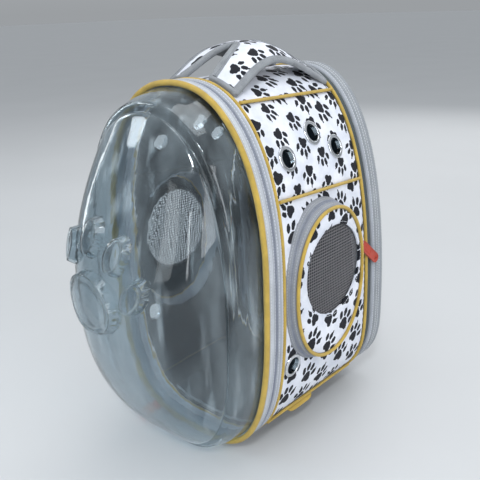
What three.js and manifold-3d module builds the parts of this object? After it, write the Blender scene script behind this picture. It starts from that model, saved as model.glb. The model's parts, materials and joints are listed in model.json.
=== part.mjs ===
// A pet carrier backpack with a clear moulded bubble front. Millimetres, +Z up, the bubble faces -Y.
// The body is a fabric tube of oval section: its front rim lies at y = 0 while it is being built, and the
// finished group is moved so that its origin is the middle of its footprint, on the floor.
import * as THREE from 'three';
import { mergeVertices } from 'three/addons/utils/BufferGeometryUtils.js';
import Module from 'manifold-3d';

const wasm = await Module();
wasm.setup();

// Driving dimensions of the body
const GAP = 0.3;                  // clearance between neighbouring pieces
const CLOTH = 3.0;                // padded fabric wall
const FOOT_HEIGHT = 4.0;          // the body stands this far off the floor
const BODY_WIDTH = 230;
const BODY_HEIGHT = 400;
const BODY_DEPTH = 236;           // front rim to the back of the rear rim
// Rims, in shares of the body's width and height
const FRONT_RIM = { width: 1, low: 0, middle: 0.525, high: 1, topPower: 2.27, lowPower: 3.2 };
const REAR_RIM = { width: 0.965, low: 0.015, middle: 0.25, high: 1.005, topPower: 2.4, lowPower: 2.7 };
const AROUND = 46;                // segments around a full rim
const PIPING_SIDES = 6;

// Bands and pipings, front to back
const FRONT_PIPING_RADIUS = 3.6;
const THIN_PIPING_RADIUS = 2.1;
const SEAM_PIPING_RADIUS = 1.9;
const FRONT_BAND_DEPTH = 22.6;
const REAR_GROOVE_DEPTH = 12.5;
const REAR_RIM_DEPTH = 25.7;
const REAR_RIM_WALL = 8;
const BAND_BULGE = 1.8;

// Seams between the panels: share of the half outline, from the middle of the base to the top
const SEAMS = [
  { name: 'base', front: 0.175, rear: 0.186 },
  { name: 'middle', front: 0.681, rear: 0.664 },
  { name: 'top', front: 0.878, rear: 0.87 },
];

// Clear bubble: shares of the rim outline at shares of the depth, with the stepped shoulder at 0.33 to 0.36
const BUBBLE_DEPTH = 106;
const BUBBLE_WALL = 2;
const BUBBLE_FLANGE = 14;
const BUBBLE_AXIS = 0.475;        // height of the tip above the base of the rim, in shares of the body's height
const DOME_ROWS = [
  { depth: 0.0, side: 1.0, top: 1.0, low: 1.0 },
  { depth: 0.2, side: 0.985, top: 0.975, low: 0.985 },
  { depth: 0.33, side: 0.955, top: 0.95, low: 0.96 },
  { depth: 0.36, side: 0.9, top: 0.91, low: 0.93 },
  { depth: 0.5, side: 0.89, top: 0.8, low: 0.86 },
  { depth: 0.65, side: 0.83, top: 0.63, low: 0.735 },
  { depth: 0.8, side: 0.69, top: 0.42, low: 0.555 },
  { depth: 0.9, side: 0.53, top: 0.27, low: 0.385 },
  { depth: 0.97, side: 0.32, top: 0.13, low: 0.2 },
  { depth: 1.0, side: 0.08, top: 0.04, low: 0.06 },
];

// Moulded paw on the bubble, laid out upright and then turned
const PAW_CENTRE = { x: -17, height: 0.5275 };
const PAW_TURN = -14;             // degrees, clockwise seen from the front
const PAW_RELIEF = 11;
const PAW_REACH = 54;             // centre of the paw to the outer toes, the unit of the table below
const PAW_PADS = [
  { x: 0, z: -0.28, halfWidth: 0.74, halfHeight: 0.57, lean: 0 },
  { x: -1, z: 0.35, halfWidth: 0.24, halfHeight: 0.39, lean: 18 },
  { x: -0.38, z: 0.83, halfWidth: 0.26, halfHeight: 0.41, lean: 6 },
  { x: 0.38, z: 0.83, halfWidth: 0.26, halfHeight: 0.41, lean: -6 },
  { x: 1, z: 0.35, halfWidth: 0.24, halfHeight: 0.39, lean: -18 },
];

// Side windows: a raised oval door with a round mesh
// The door fills the wall but for a margin in front and behind; low and high are shares of the body's height
const WINDOW = { frontMargin: 0.2, rearMargin: 24.2, low: 0.2525, high: 0.67, power: 2.15, rise: 12.5, flare: 7 };
const MESH = { shiftY: 5, margin: 6, aboveMiddle: 13.5, lap: 2.5, thickness: 1.4 };
const WINDOW_CLOTH = 2.4;

// Eyelets in the side walls
const EYELET = { hole: 9.5, flange: 13.5, thickness: 1.2, barrel: 1.4, seat: 0.3 };
// Places of the upper eyelets: shares of the wall's length and of the half outline
const HIGH_EYELETS = [
  { name: 'eyelet_front', along: 0.19, share: 0.751 },
  { name: 'eyelet_middle', along: 0.537, share: 0.788 },
  { name: 'eyelet_rear', along: 0.76, share: 0.749 },
];
const LOW_EYELET = { name: 'eyelet_low', frontMargin: 1.2, windowMargin: 0.35 };

// Zip sliders and their pull tabs
const SLIDER = { length: 12, width: 8, height: 3.2, pinRadius: 1.7, headRadius: 3, headHeight: 0.9 };
const TAB = { length: 58, width: 12, thickness: 2.2, hole: 2.1, endHole: 1.8 };
const WINDOW_SLIDER = { fromWindow: 5.5, height: 0.515, restAngle: -40 };
const BUBBLE_SLIDER = { share: 0.118 };
const BUBBLE_TAB_LENGTH = 46;

// Handle over the top: a sheet with four feet, sewn into the front and rear seams
const HANDLE = { thickness: 3, rise: 29, seamMargin: 5.6, innerFoot: 20, waist: 19, binding: 2.4 };
// Width of each side at the middle, in shares of the width at its feet
const HANDLE_SIDES = [
  { side: 'right', fall: -8, waist: 0.81 },
  { side: 'left', fall: 5, waist: 0.98 },
];

// Feet, base tabs, floor mat and the back
const FOOT = { radius: 8, x: 0.196, fromFront: 28.7, fromRear: 11.7 };
const BASE_TAB = { fromFront: 39.7, length: 46, reach: 9, thickness: 2.6 };
const MAT = { thickness: 5, share: 0.13, margin: 2, above: 0.5 };
const BACK_PANEL = { thickness: 9, bulge: 5 };
// Ends of the straps: shares of the body's width and height
const STRAP = { topX: 0.157, lowX: 0.26, topZ: 0.875, lowZ: 0.355, width: 52, thickness: 8, standOff: 29, sewn: 16 };
const WEBBING = { lowX: 0.313, lowZ: 0.14, width: 25, thickness: 2, sewn: 12 };
const ADJUSTER = { width: 35, height: 22, thickness: 4, bar: 4 };

const RIGHT = 1;
const LEFT = -1;
const FLANGE_OUT = -Math.max(FRONT_PIPING_RADIUS + GAP + 0.1, CLOTH + 0.8);
const BAND_FRONT = FRONT_PIPING_RADIUS + GAP;
const BAND_REAR = BAND_FRONT + FRONT_BAND_DEPTH;
const FRONT_THIN_Y = BAND_REAR + GAP + THIN_PIPING_RADIUS;
const WALL_FRONT = FRONT_THIN_Y + THIN_PIPING_RADIUS + GAP;
const RIM_FRONT = BODY_DEPTH - REAR_RIM_DEPTH;
const GROOVE_FRONT = RIM_FRONT - GAP - REAR_GROOVE_DEPTH;
const REAR_THIN_Y = GROOVE_FRONT - GAP - THIN_PIPING_RADIUS;
const WALL_REAR = REAR_THIN_Y - THIN_PIPING_RADIUS - GAP;

// Materials
function finish(color, roughness, metalness = 0) {
  return new THREE.MeshStandardMaterial({ color, roughness, metalness });
}
const PAW_CLOTH = finish(0xe8ebf2, 0.85);
const GREY_TAPE = finish(0xb9bec6, 0.8);
const DARK_TAPE = finish(0x59656a, 0.85);
const YELLOW = finish(0xd9b64f, 0.7);
const GREY_LINING = finish(0x5a6a74, 0.85);
const MESH_BLACK = finish(0x4a484c, 0.8);
const CHROME = finish(0xb8bcc0, 0.25, 1);
const TAB_RED = finish(0xa03c28, 0.55);
const TAB_ORANGE = finish(0xe0803a, 0.55);
const WEB_GREY = finish(0x6c7278, 0.8);
const FOOT_GREY = finish(0x4c5054, 0.6);
const CLEAR = new THREE.MeshStandardMaterial({ color: 0xdfeaf0, roughness: 0.05, transparent: true, opacity: 0.3 });

// Outline of a rim: half of it, from the middle of the base round to the top, at even steps of length
const OUTLINE_STEPS = 400;

function halfOutline(rim) {
  const halfWidth = (rim.width * BODY_WIDTH) / 2;
  const raw = [];
  for (let k = 0; k <= 600; k += 1) {
    const angle = (Math.PI / 2) * (k / 600);
    const power = 2 / rim.lowPower;
    raw.push([
      halfWidth * Math.sin(angle) ** power,
      BODY_HEIGHT * (rim.middle - (rim.middle - rim.low) * Math.cos(angle) ** power),
    ]);
  }
  for (let k = 1; k <= 600; k += 1) {
    const angle = (Math.PI / 2) * (k / 600);
    const power = 2 / rim.topPower;
    raw.push([
      halfWidth * Math.max(Math.cos(angle), 0) ** power,
      BODY_HEIGHT * (rim.middle + (rim.high - rim.middle) * Math.sin(angle) ** power),
    ]);
  }
  raw[raw.length - 1][0] = 0;
  const lengths = [0];
  for (let k = 1; k < raw.length; k += 1) {
    lengths.push(lengths[k - 1] + Math.hypot(raw[k][0] - raw[k - 1][0], raw[k][1] - raw[k - 1][1]));
  }
  const total = lengths[lengths.length - 1];
  const even = [];
  let at = 0;
  for (let k = 0; k <= OUTLINE_STEPS; k += 1) {
    const want = (total * k) / OUTLINE_STEPS;
    while (at < raw.length - 2 && lengths[at + 1] < want) at += 1;
    const share = (want - lengths[at]) / (lengths[at + 1] - lengths[at]);
    even.push([
      raw[at][0] + (raw[at + 1][0] - raw[at][0]) * share,
      raw[at][1] + (raw[at + 1][1] - raw[at][1]) * share + FOOT_HEIGHT,
    ]);
  }
  return { points: even, total };
}

const FRONT_OUTLINE = halfOutline(FRONT_RIM);
const REAR_OUTLINE = halfOutline(REAR_RIM);

function outlineAt(outline, share) {
  const place = Math.min(Math.max(share, 0), 1) * OUTLINE_STEPS;
  const k = Math.min(Math.floor(place), OUTLINE_STEPS - 1);
  const rest = place - k;
  const [a, b] = [outline.points[k], outline.points[k + 1]];
  return [a[0] + (b[0] - a[0]) * rest, a[1] + (b[1] - a[1]) * rest];
}

// A place on the body: turn runs from 0 to 1 round the outline, from the base by the right side,
// and out is the distance outwards from the surface
function bodyPoint(y, turn, out = 0) {
  const wrapped = turn - Math.floor(turn);
  const side = wrapped <= 0.5 ? RIGHT : LEFT;
  const share = wrapped <= 0.5 ? wrapped * 2 : (1 - wrapped) * 2;
  const back = y / BODY_DEPTH;
  const blend = (s) => {
    const a = outlineAt(FRONT_OUTLINE, s);
    const b = outlineAt(REAR_OUTLINE, s);
    return [a[0] + (b[0] - a[0]) * back, a[1] + (b[1] - a[1]) * back];
  };
  const here = blend(share);
  const step = 0.006;
  const before = blend(Math.max(share - step, 0));
  const after = blend(Math.min(share + step, 1));
  let tangent = [after[0] - before[0], after[1] - before[1]];
  if (share < step) tangent = [1, (after[1] - before[1]) * share];
  if (share > 1 - step) tangent = [-1, 0];
  const size = Math.hypot(tangent[0], tangent[1]);
  const normal = [tangent[1] / size, -tangent[0] / size];
  if (share === 0) normal[0] = 0;
  return {
    point: new THREE.Vector3(side * (here[0] + normal[0] * out), y, here[1] + normal[1] * out),
    normal: new THREE.Vector3(side * normal[0], 0, normal[1]),
  };
}

const [BASE_SEAM, MIDDLE_SEAM, TOP_SEAM] = SEAMS;

function seamAt(seam, y) {
  return seam.front + (seam.rear - seam.front) * (y / BODY_DEPTH);
}

// Closed bodies from rings of points
function bodyFrom(rings, { loop = false } = {}) {
  const count = rings[0].length;
  const positions = [];
  for (const ring of rings) {
    for (const p of ring) positions.push(p.x, p.y, p.z);
  }
  const index = [];
  const last = loop ? rings.length : rings.length - 1;
  for (let k = 0; k < last; k += 1) {
    const a = k * count;
    const b = ((k + 1) % rings.length) * count;
    for (let i = 0; i < count; i += 1) {
      const j = (i + 1) % count;
      index.push(a + i, a + j, b + j, a + i, b + j, b + i);
    }
  }
  if (!loop) {
    for (const [k, flip] of [[0, true], [rings.length - 1, false]]) {
      const centre = new THREE.Vector3();
      for (const p of rings[k]) centre.add(p);
      centre.divideScalar(count);
      const middle = positions.length / 3;
      positions.push(centre.x, centre.y, centre.z);
      for (let i = 0; i < count; i += 1) {
        const j = (i + 1) % count;
        if (flip) index.push(k * count + j, k * count + i, middle);
        else index.push(k * count + i, k * count + j, middle);
      }
    }
  }
  const geometry = new THREE.BufferGeometry();
  geometry.setAttribute('position', new THREE.Float32BufferAttribute(positions, 3));
  geometry.setIndex(index);
  return facingOut(geometry);
}

function signedVolume(geometry) {
  const p = geometry.getAttribute('position');
  const index = geometry.getIndex();
  const [a, b, c] = [new THREE.Vector3(), new THREE.Vector3(), new THREE.Vector3()];
  let total = 0;
  for (let k = 0; k < index.count; k += 3) {
    a.fromBufferAttribute(p, index.getX(k));
    b.fromBufferAttribute(p, index.getX(k + 1));
    c.fromBufferAttribute(p, index.getX(k + 2));
    total += a.dot(b.cross(c)) / 6;
  }
  return total;
}

function facingOut(geometry) {
  if (signedVolume(geometry) < 0) {
    const index = geometry.getIndex();
    for (let k = 0; k < index.count; k += 3) {
      const swap = index.getX(k);
      index.setX(k, index.getX(k + 1));
      index.setX(k + 1, swap);
    }
  }
  return geometry;
}

function welded(geometry) {
  const bare = geometry.clone();
  bare.deleteAttribute('normal');
  bare.deleteAttribute('uv');
  return facingOut(mergeVertices(bare, 1e-4));
}

// Boolean cuts and joins
function manifoldOf(geometry) {
  const bare = welded(geometry);
  return new wasm.Manifold(new wasm.Mesh({
    numProp: 3,
    vertProperties: Float32Array.from(bare.getAttribute('position').array),
    triVerts: Uint32Array.from(bare.getIndex().array),
  }));
}

function geometryOf(manifold) {
  const mesh = manifold.getMesh();
  const geometry = new THREE.BufferGeometry();
  geometry.setAttribute('position', new THREE.Float32BufferAttribute(mesh.vertProperties, 3));
  geometry.setIndex(Array.from(mesh.triVerts));
  return geometry;
}

function cut(geometry, ...tools) {
  let result = manifoldOf(geometry);
  for (const tool of tools) result = result.subtract(manifoldOf(tool));
  return geometryOf(result);
}

function join(geometry, ...others) {
  let result = manifoldOf(geometry);
  for (const other of others) result = result.add(manifoldOf(other));
  return geometryOf(result);
}

function mirrored(geometry) {
  return facingOut(welded(geometry).scale(-1, 1, 1));
}

const model = new THREE.Group();

function add(name, geometry, material) {
  const mesh = new THREE.Mesh(geometry, material);
  mesh.name = name;
  model.add(mesh);
  return mesh;
}

function addBothSides(name, geometry, material) {
  add(`${name}_right`, geometry, material);
  add(`${name}_left`, mirrored(geometry), material);
}

// Hoops: a section in depth and distance outwards, carried round the whole rim
function hoop(section, segments = AROUND) {
  const rings = [];
  for (let k = 0; k < segments; k += 1) {
    rings.push(section.map(({ y, out }) => bodyPoint(y, k / segments, out).point));
  }
  return bodyFrom(rings, { loop: true });
}

function roundSection(y, out, radius, sides = PIPING_SIDES) {
  return Array.from({ length: sides }, (_, k) => {
    const angle = (2 * Math.PI * (k + 0.5)) / sides;
    return { y: y + radius * Math.cos(angle), out: out + radius * Math.sin(angle) };
  });
}

// Part of the wall between two seams, each given as a turn in terms of the depth
function wallPanel(fromTurn, toTurn, segments, { front = WALL_FRONT, rear = WALL_REAR, inner = -CLOTH, outer = 0 } = {}) {
  const rings = [];
  for (let k = 0; k <= segments; k += 1) {
    const turnAt = (y) => fromTurn(y) + (toTurn(y) - fromTurn(y)) * (k / segments);
    rings.push([
      bodyPoint(front, turnAt(front), inner).point,
      bodyPoint(front, turnAt(front), outer).point,
      bodyPoint(rear, turnAt(rear), outer).point,
      bodyPoint(rear, turnAt(rear), inner).point,
    ]);
  }
  return bodyFrom(rings);
}

// Side windows
const windowFront = WALL_FRONT + WINDOW.frontMargin + WINDOW.flare;
const windowRear = WALL_REAR - WINDOW.rearMargin - WINDOW.flare;
const WINDOW_Y = (windowFront + windowRear) / 2;
const WINDOW_HALF_WIDTH = (windowRear - windowFront) / 2;
const WINDOW_Z = (BODY_HEIGHT * (WINDOW.low + WINDOW.high)) / 2 + FOOT_HEIGHT;
const WINDOW_HALF_HEIGHT = (BODY_HEIGHT * (WINDOW.high - WINDOW.low)) / 2;
const WALL_MIDDLE_X = bodyPoint(WINDOW_Y, 0.5 * wallShareAt(WINDOW_Y, WINDOW_Z)).point.x;
const WINDOW_FACE_X = WALL_MIDDLE_X + WINDOW.rise;
const meshY = WINDOW_Y + MESH.shiftY;
const meshZ = WINDOW_Z + MESH.aboveMiddle;
const meshRadius = Math.min(WINDOW_HALF_WIDTH - MESH.shiftY, WINDOW_HALF_HEIGHT - MESH.aboveMiddle) - MESH.margin;

function wallShareAt(y, z) {
  let [low, high] = [0.1, 0.9];
  for (let k = 0; k < 40; k += 1) {
    const middle = (low + high) / 2;
    if (bodyPoint(y, middle / 2).point.z < z) low = middle;
    else high = middle;
  }
  return (low + high) / 2;
}

function ovalPoint(turn, grow) {
  const angle = 2 * Math.PI * turn;
  const power = 2 / WINDOW.power;
  const [c, s] = [Math.cos(angle), Math.sin(angle)];
  const y = Math.sign(c) * Math.abs(c) ** power * WINDOW_HALF_WIDTH;
  const z = Math.sign(s) * Math.abs(s) ** power * WINDOW_HALF_HEIGHT;
  const slope = [
    Math.sign(c) * Math.abs(y / WINDOW_HALF_WIDTH) ** (WINDOW.power - 1) / WINDOW_HALF_WIDTH,
    Math.sign(s) * Math.abs(z / WINDOW_HALF_HEIGHT) ** (WINDOW.power - 1) / WINDOW_HALF_HEIGHT,
  ];
  const size = Math.hypot(slope[0], slope[1]);
  return { y: WINDOW_Y + y + (grow * slope[0]) / size, z: WINDOW_Z + z + (grow * slope[1]) / size };
}

// A ring round the window: a section in distance outwards from the oval and in x
function windowRing(section, segments = 32) {
  const rings = [];
  for (let k = 0; k < segments; k += 1) {
    rings.push(section.map(({ grow, x }) => {
      const place = ovalPoint(k / segments, grow);
      return new THREE.Vector3(x, place.y, place.z);
    }));
  }
  return bodyFrom(rings, { loop: true });
}

function windowPlug(grow, fromX, toX, segments = 32) {
  return bodyFrom([fromX, toX].map((x) => Array.from({ length: segments }, (_, k) => {
    const place = ovalPoint(k / segments, grow);
    return new THREE.Vector3(x, place.y, place.z);
  })));
}

function discAlongX(radius, y, z, fromX, toX, segments = 28) {
  const disc = new THREE.CylinderGeometry(radius, radius, toX - fromX, segments);
  disc.rotateZ(Math.PI / 2);
  disc.translate((fromX + toX) / 2, y, z);
  return disc;
}

// Walls
const windowHole = windowPlug(WINDOW.flare - 3, 60, WINDOW_FACE_X + 40);

// The low eyelet sits in the corner between the front piping and the window door
function lowEyeletPlace() {
  const y = WALL_FRONT + EYELET.flange + LOW_EYELET.frontMargin;
  const reach = WINDOW.flare + EYELET.flange + LOW_EYELET.windowMargin;
  const clear = (share) => {
    const { z } = bodyPoint(y, share / 2).point;
    for (let k = 0; k < 200; k += 1) {
      const place = ovalPoint(0.5 + (0.25 * k) / 200, reach);
      if (place.y > y) return place.z > z;
    }
    return true;
  };
  let [low, high] = [seamAt(BASE_SEAM, y), 0.5];
  for (let k = 0; k < 30; k += 1) {
    const middle = (low + high) / 2;
    if (clear(middle)) low = middle;
    else high = middle;
  }
  return { name: LOW_EYELET.name, y, share: low };
}

const EYELETS = [
  lowEyeletPlace(),
  ...HIGH_EYELETS.map(({ name, along, share }) => ({ name, y: WALL_FRONT + (WALL_REAR - WALL_FRONT) * along, share })),
];

// Middle of an eyelet and the direction the wall faces there, with the taper of the body
function eyeletPlace({ y, share }) {
  const { point, normal } = bodyPoint(y, share / 2);
  const along = bodyPoint(y + 6, share / 2).point.sub(bodyPoint(y - 6, share / 2).point);
  const round = bodyPoint(y, share / 2 + 0.004).point.sub(bodyPoint(y, share / 2 - 0.004).point);
  const facing = along.cross(round).normalize();
  if (facing.dot(normal) < 0) facing.negate();
  return { point, normal: facing };
}

function alongNormal(geometry, { point, normal }) {
  geometry.applyQuaternion(new THREE.Quaternion().setFromUnitVectors(new THREE.Vector3(0, 1, 0), normal));
  geometry.translate(point.x, point.y, point.z);
  return geometry;
}

function eyeletCut(eyelet) {
  const radius = EYELET.hole + EYELET.barrel + GAP;
  return alongNormal(new THREE.CylinderGeometry(radius / Math.cos(Math.PI / 12), radius / Math.cos(Math.PI / 12), 24, 12), eyeletPlace(eyelet));
}

// How far the wall falls away from flat under an eyelet's flange
function wallFall(eyelet) {
  const { point, normal } = eyeletPlace(eyelet);
  let deepest = 0;
  for (let k = 0; k < 12; k += 1) {
    const angle = (2 * Math.PI * k) / 12;
    const y = eyelet.y + EYELET.flange * Math.cos(angle);
    const share = eyelet.share + (EYELET.flange * Math.sin(angle)) / FRONT_OUTLINE.total;
    deepest = Math.max(deepest, point.clone().sub(bodyPoint(y, share / 2).point).dot(normal));
  }
  return deepest;
}

function eyeletRing(eyelet) {
  const outer = GAP + 0.5;
  const inner = -CLOTH - GAP - EYELET.seat - wallFall(eyelet);
  const barrel = EYELET.hole + EYELET.barrel;
  const profile = [
    [EYELET.hole, inner - EYELET.thickness],
    [EYELET.flange - 1, inner - EYELET.thickness],
    [EYELET.flange - 1, inner],
    [barrel, inner],
    [barrel, outer],
    [EYELET.flange, outer],
    [EYELET.flange - 0.8, outer + EYELET.thickness],
    [EYELET.hole + 0.5, outer + EYELET.thickness],
    [EYELET.hole, outer],
  ].map(([radius, height]) => new THREE.Vector2(radius, height));
  profile.push(profile[0].clone());
  return new THREE.LatheGeometry(profile, 12);
}

const seamClearance = GAP / 2 / FRONT_OUTLINE.total;

function turnOf(seam, shift) {
  return (y) => seamAt(seam, y) / 2 + shift * seamClearance;
}

const lowCuts = [windowHole, eyeletCut(EYELETS[0])];
const highCuts = EYELETS.slice(1).map(eyeletCut);
const sideWall = (shape) => wallPanel(turnOf(BASE_SEAM, 1), turnOf(MIDDLE_SEAM, -1), 20, shape);
const shoulderWall = (shape) => wallPanel(turnOf(MIDDLE_SEAM, 1), turnOf(TOP_SEAM, -1), 10, shape);
const topWall = (shape) => wallPanel(turnOf(TOP_SEAM, 1), (y) => 1 - turnOf(TOP_SEAM, 1)(y), 12, shape);
const baseWall = (shape) => wallPanel((y) => -turnOf(BASE_SEAM, -1)(y), turnOf(BASE_SEAM, -1), 16, shape);
addBothSides('lower_side_panel', cut(sideWall(), ...lowCuts), PAW_CLOTH);
addBothSides('upper_side_panel', cut(shoulderWall(), ...highCuts), PAW_CLOTH);
add('top_panel', topWall(), PAW_CLOTH);
add('base_panel', baseWall(), GREY_LINING);
const behindSide = sideWall({ inner: -30, outer: GAP });
const aboveBase = baseWall({ inner: -40, outer: GAP });

for (const seam of SEAMS) {
  const rings = [];
  for (const y of [WALL_FRONT + GAP, (WALL_FRONT + WALL_REAR) / 2, WALL_REAR - GAP]) {
    const { point, normal } = bodyPoint(y, seamAt(seam, y) / 2, SEAM_PIPING_RADIUS + GAP);
    const along = new THREE.Vector3(-normal.z, 0, normal.x);
    rings.push(Array.from({ length: PIPING_SIDES }, (_, k) => {
      const angle = (2 * Math.PI * k) / PIPING_SIDES;
      return point.clone()
        .addScaledVector(normal, SEAM_PIPING_RADIUS * Math.cos(angle))
        .addScaledVector(along, SEAM_PIPING_RADIUS * Math.sin(angle));
    }));
  }
  addBothSides(`${seam.name}_seam_piping`, bodyFrom(rings), YELLOW);
}

for (const eyelet of EYELETS) {
  addBothSides(eyelet.name, alongNormal(eyeletRing(eyelet), eyeletPlace(eyelet)), CHROME);
}

// Window door: slanted zip wall, piping, oval panel and round mesh
const doorWall = windowRing([
  { grow: -1, x: WINDOW_FACE_X - THIN_PIPING_RADIUS - GAP },
  { grow: 1.6, x: WINDOW_FACE_X - THIN_PIPING_RADIUS - GAP },
  { grow: WINDOW.flare, x: WALL_MIDDLE_X },
  { grow: WINDOW.flare, x: WALL_MIDDLE_X - 14 },
  { grow: WINDOW.flare - 2.6, x: WALL_MIDDLE_X - 14 },
  { grow: WINDOW.flare - 2.6, x: WALL_MIDDLE_X },
]);
addBothSides('window_zip_wall', cut(doorWall, behindSide), GREY_TAPE);
addBothSides('window_piping', windowRing(Array.from({ length: PIPING_SIDES }, (_, k) => {
  const angle = (2 * Math.PI * (k + 0.5)) / PIPING_SIDES;
  return { grow: THIN_PIPING_RADIUS * Math.cos(angle), x: WINDOW_FACE_X + THIN_PIPING_RADIUS * Math.sin(angle) };
})), YELLOW);
const panelBack = WINDOW_FACE_X - WINDOW_CLOTH + 0.6;
addBothSides('window_panel', cut(
  windowPlug(-THIN_PIPING_RADIUS - GAP, panelBack, panelBack + WINDOW_CLOTH),
  discAlongX(meshRadius, meshY, meshZ, panelBack - 5, panelBack + WINDOW_CLOTH + 5),
), PAW_CLOTH);
addBothSides('window_mesh', welded(
  discAlongX(meshRadius + MESH.lap, meshY, meshZ, panelBack - GAP - MESH.thickness, panelBack - GAP),
), MESH_BLACK);

// Rims
add('front_piping', hoop(roundSection(0, 0, FRONT_PIPING_RADIUS, 8)), YELLOW);
add('front_zip_band', hoop([
  { y: BAND_FRONT, out: -CLOTH + 0.2 },
  { y: BAND_FRONT, out: 0.6 },
  { y: BAND_FRONT + 5, out: BAND_BULGE },
  { y: BAND_REAR - 5, out: BAND_BULGE },
  { y: BAND_REAR, out: 0.6 },
  { y: BAND_REAR, out: -CLOTH + 0.2 },
]), GREY_TAPE);
add('front_thin_piping', hoop(roundSection(FRONT_THIN_Y, 0.2, THIN_PIPING_RADIUS)), YELLOW);
add('rear_thin_piping', hoop(roundSection(REAR_THIN_Y, 0.2, THIN_PIPING_RADIUS)), YELLOW);
add('rear_groove_band', hoop([
  { y: GROOVE_FRONT, out: -CLOTH - 1 },
  { y: GROOVE_FRONT, out: -1.6 },
  { y: RIM_FRONT - GAP, out: -1.6 },
  { y: RIM_FRONT - GAP, out: -CLOTH - 1 },
]), DARK_TAPE);
add('rear_rim_band', hoop([
  { y: RIM_FRONT, out: 1 - REAR_RIM_WALL },
  { y: RIM_FRONT, out: -1 },
  { y: RIM_FRONT + 3, out: 0.6 },
  { y: RIM_FRONT + 12, out: 1 },
  { y: BODY_DEPTH - 4, out: 0.4 },
  { y: BODY_DEPTH, out: -3 },
  { y: BODY_DEPTH, out: 1 - REAR_RIM_WALL },
]), GREY_TAPE);

// Back panel inside the rear rim, with a soft swell on its outer face
const backOut = 1 - REAR_RIM_WALL - GAP;
const backFront = BODY_DEPTH - BACK_PANEL.thickness - 4;
const backRear = BODY_DEPTH - 4;
const BACK_FACE_Y = backRear + BACK_PANEL.bulge;
add('back_panel', bodyFrom([
  { y: backFront, out: backOut },
  { y: backRear, out: backOut },
  { y: BACK_FACE_Y, out: backOut - 16 },
].map(({ y, out }) => Array.from({ length: AROUND }, (_, k) => {
  const place = bodyPoint(Math.min(y, BODY_DEPTH), k / AROUND, out).point;
  return new THREE.Vector3(place.x, y, place.z);
}))), WEB_GREY);

add('floor_mat', wallPanel(() => -MAT.share / 2, () => MAT.share / 2, 16, {
  front: WALL_FRONT + MAT.margin,
  rear: WALL_REAR - MAT.margin,
  inner: -CLOTH - GAP - MAT.above - MAT.thickness,
  outer: -CLOTH - GAP - MAT.above,
}), GREY_LINING);

// Clear bubble
function domeRing(row, wall, segments = AROUND) {
  const axis = BUBBLE_AXIS * BODY_HEIGHT + FOOT_HEIGHT;
  const y = -FRONT_PIPING_RADIUS * 0.5 - BUBBLE_DEPTH * row.depth + wall;
  return Array.from({ length: segments }, (_, k) => {
    const rim = bodyPoint(0, k / segments, FLANGE_OUT - wall).point;
    const z = rim.z - axis;
    return new THREE.Vector3(rim.x * row.side, y, axis + z * (z > 0 ? row.top : row.low));
  });
}

function domeSolid(wall, flange) {
  const rings = [domeRing(DOME_ROWS[0], wall)];
  for (const p of rings[0]) p.y = flange;
  rings.push(...DOME_ROWS.map((row) => domeRing(row, wall)));
  return bodyFrom(rings);
}

// Depth of the outer dome in front of a place, from the rows, and the direction it faces
function domeDepth(x, z) {
  const axis = BUBBLE_AXIS * BODY_HEIGHT;
  const widest = FRONT_RIM.middle * BODY_HEIGHT;
  const inside = (depth) => {
    let k = 0;
    while (k < DOME_ROWS.length - 2 && DOME_ROWS[k + 1].depth < depth) k += 1;
    const [a, b] = [DOME_ROWS[k], DOME_ROWS[k + 1]];
    const share = (depth - a.depth) / (b.depth - a.depth);
    const at = (key) => a[key] + (b[key] - a[key]) * share;
    const up = z > axis;
    const rimX = Math.abs(x) / at('side');
    const rimZ = axis + (z - axis) / at(up ? 'top' : 'low');
    const high = rimZ > widest;
    const power = high ? FRONT_RIM.topPower : FRONT_RIM.lowPower;
    const reach = high ? FRONT_RIM.high * BODY_HEIGHT - widest : widest - FRONT_RIM.low * BODY_HEIGHT;
    const halfWidth = BODY_WIDTH / 2 + FLANGE_OUT;
    return (rimX / halfWidth) ** power + (Math.abs(rimZ - widest) / (reach + FLANGE_OUT)) ** power < 1;
  };
  let [low, high] = [0, 1];
  for (let k = 0; k < 30; k += 1) {
    const middle = (low + high) / 2;
    if (inside(middle)) low = middle;
    else high = middle;
  }
  return FRONT_PIPING_RADIUS * 0.5 + BUBBLE_DEPTH * low;
}

function padPlace(pad) {
  const turn = THREE.MathUtils.degToRad(PAW_TURN);
  const x = PAW_CENTRE.x + PAW_REACH * (pad.x * Math.cos(turn) - pad.z * Math.sin(turn));
  const z = PAW_CENTRE.height * BODY_HEIGHT + PAW_REACH * (pad.x * Math.sin(turn) + pad.z * Math.cos(turn));
  const step = 14;
  const slopeX = (domeDepth(x + step, z) - domeDepth(x - step, z)) / (2 * step);
  const slopeZ = (domeDepth(x, z + step) - domeDepth(x, z - step)) / (2 * step);
  const facing = new THREE.Vector3(-slopeX, -1, -slopeZ).normalize();
  return { point: new THREE.Vector3(x, -domeDepth(x, z), z + FOOT_HEIGHT), facing };
}

// A pad: an oval boss that starts inside the dome and stands proud of it
function padBoss(pad, shrink, height, sink) {
  const { point, facing } = padPlace(pad);
  const boss = new THREE.CylinderGeometry(1, 1, height + sink, 16);
  boss.scale(pad.halfWidth * PAW_REACH - shrink, 1, pad.halfHeight * PAW_REACH - shrink);
  boss.translate(0, (height - sink) / 2, 0);
  const lean = THREE.MathUtils.degToRad(pad.lean + PAW_TURN);
  const up = new THREE.Vector3(-Math.sin(lean), 0, Math.cos(lean));
  const across = new THREE.Vector3().crossVectors(facing, up).normalize();
  up.crossVectors(across, facing);
  boss.applyMatrix4(new THREE.Matrix4().makeBasis(across, facing, up));
  boss.translate(point.x, point.y, point.z);
  return boss;
}

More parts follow.
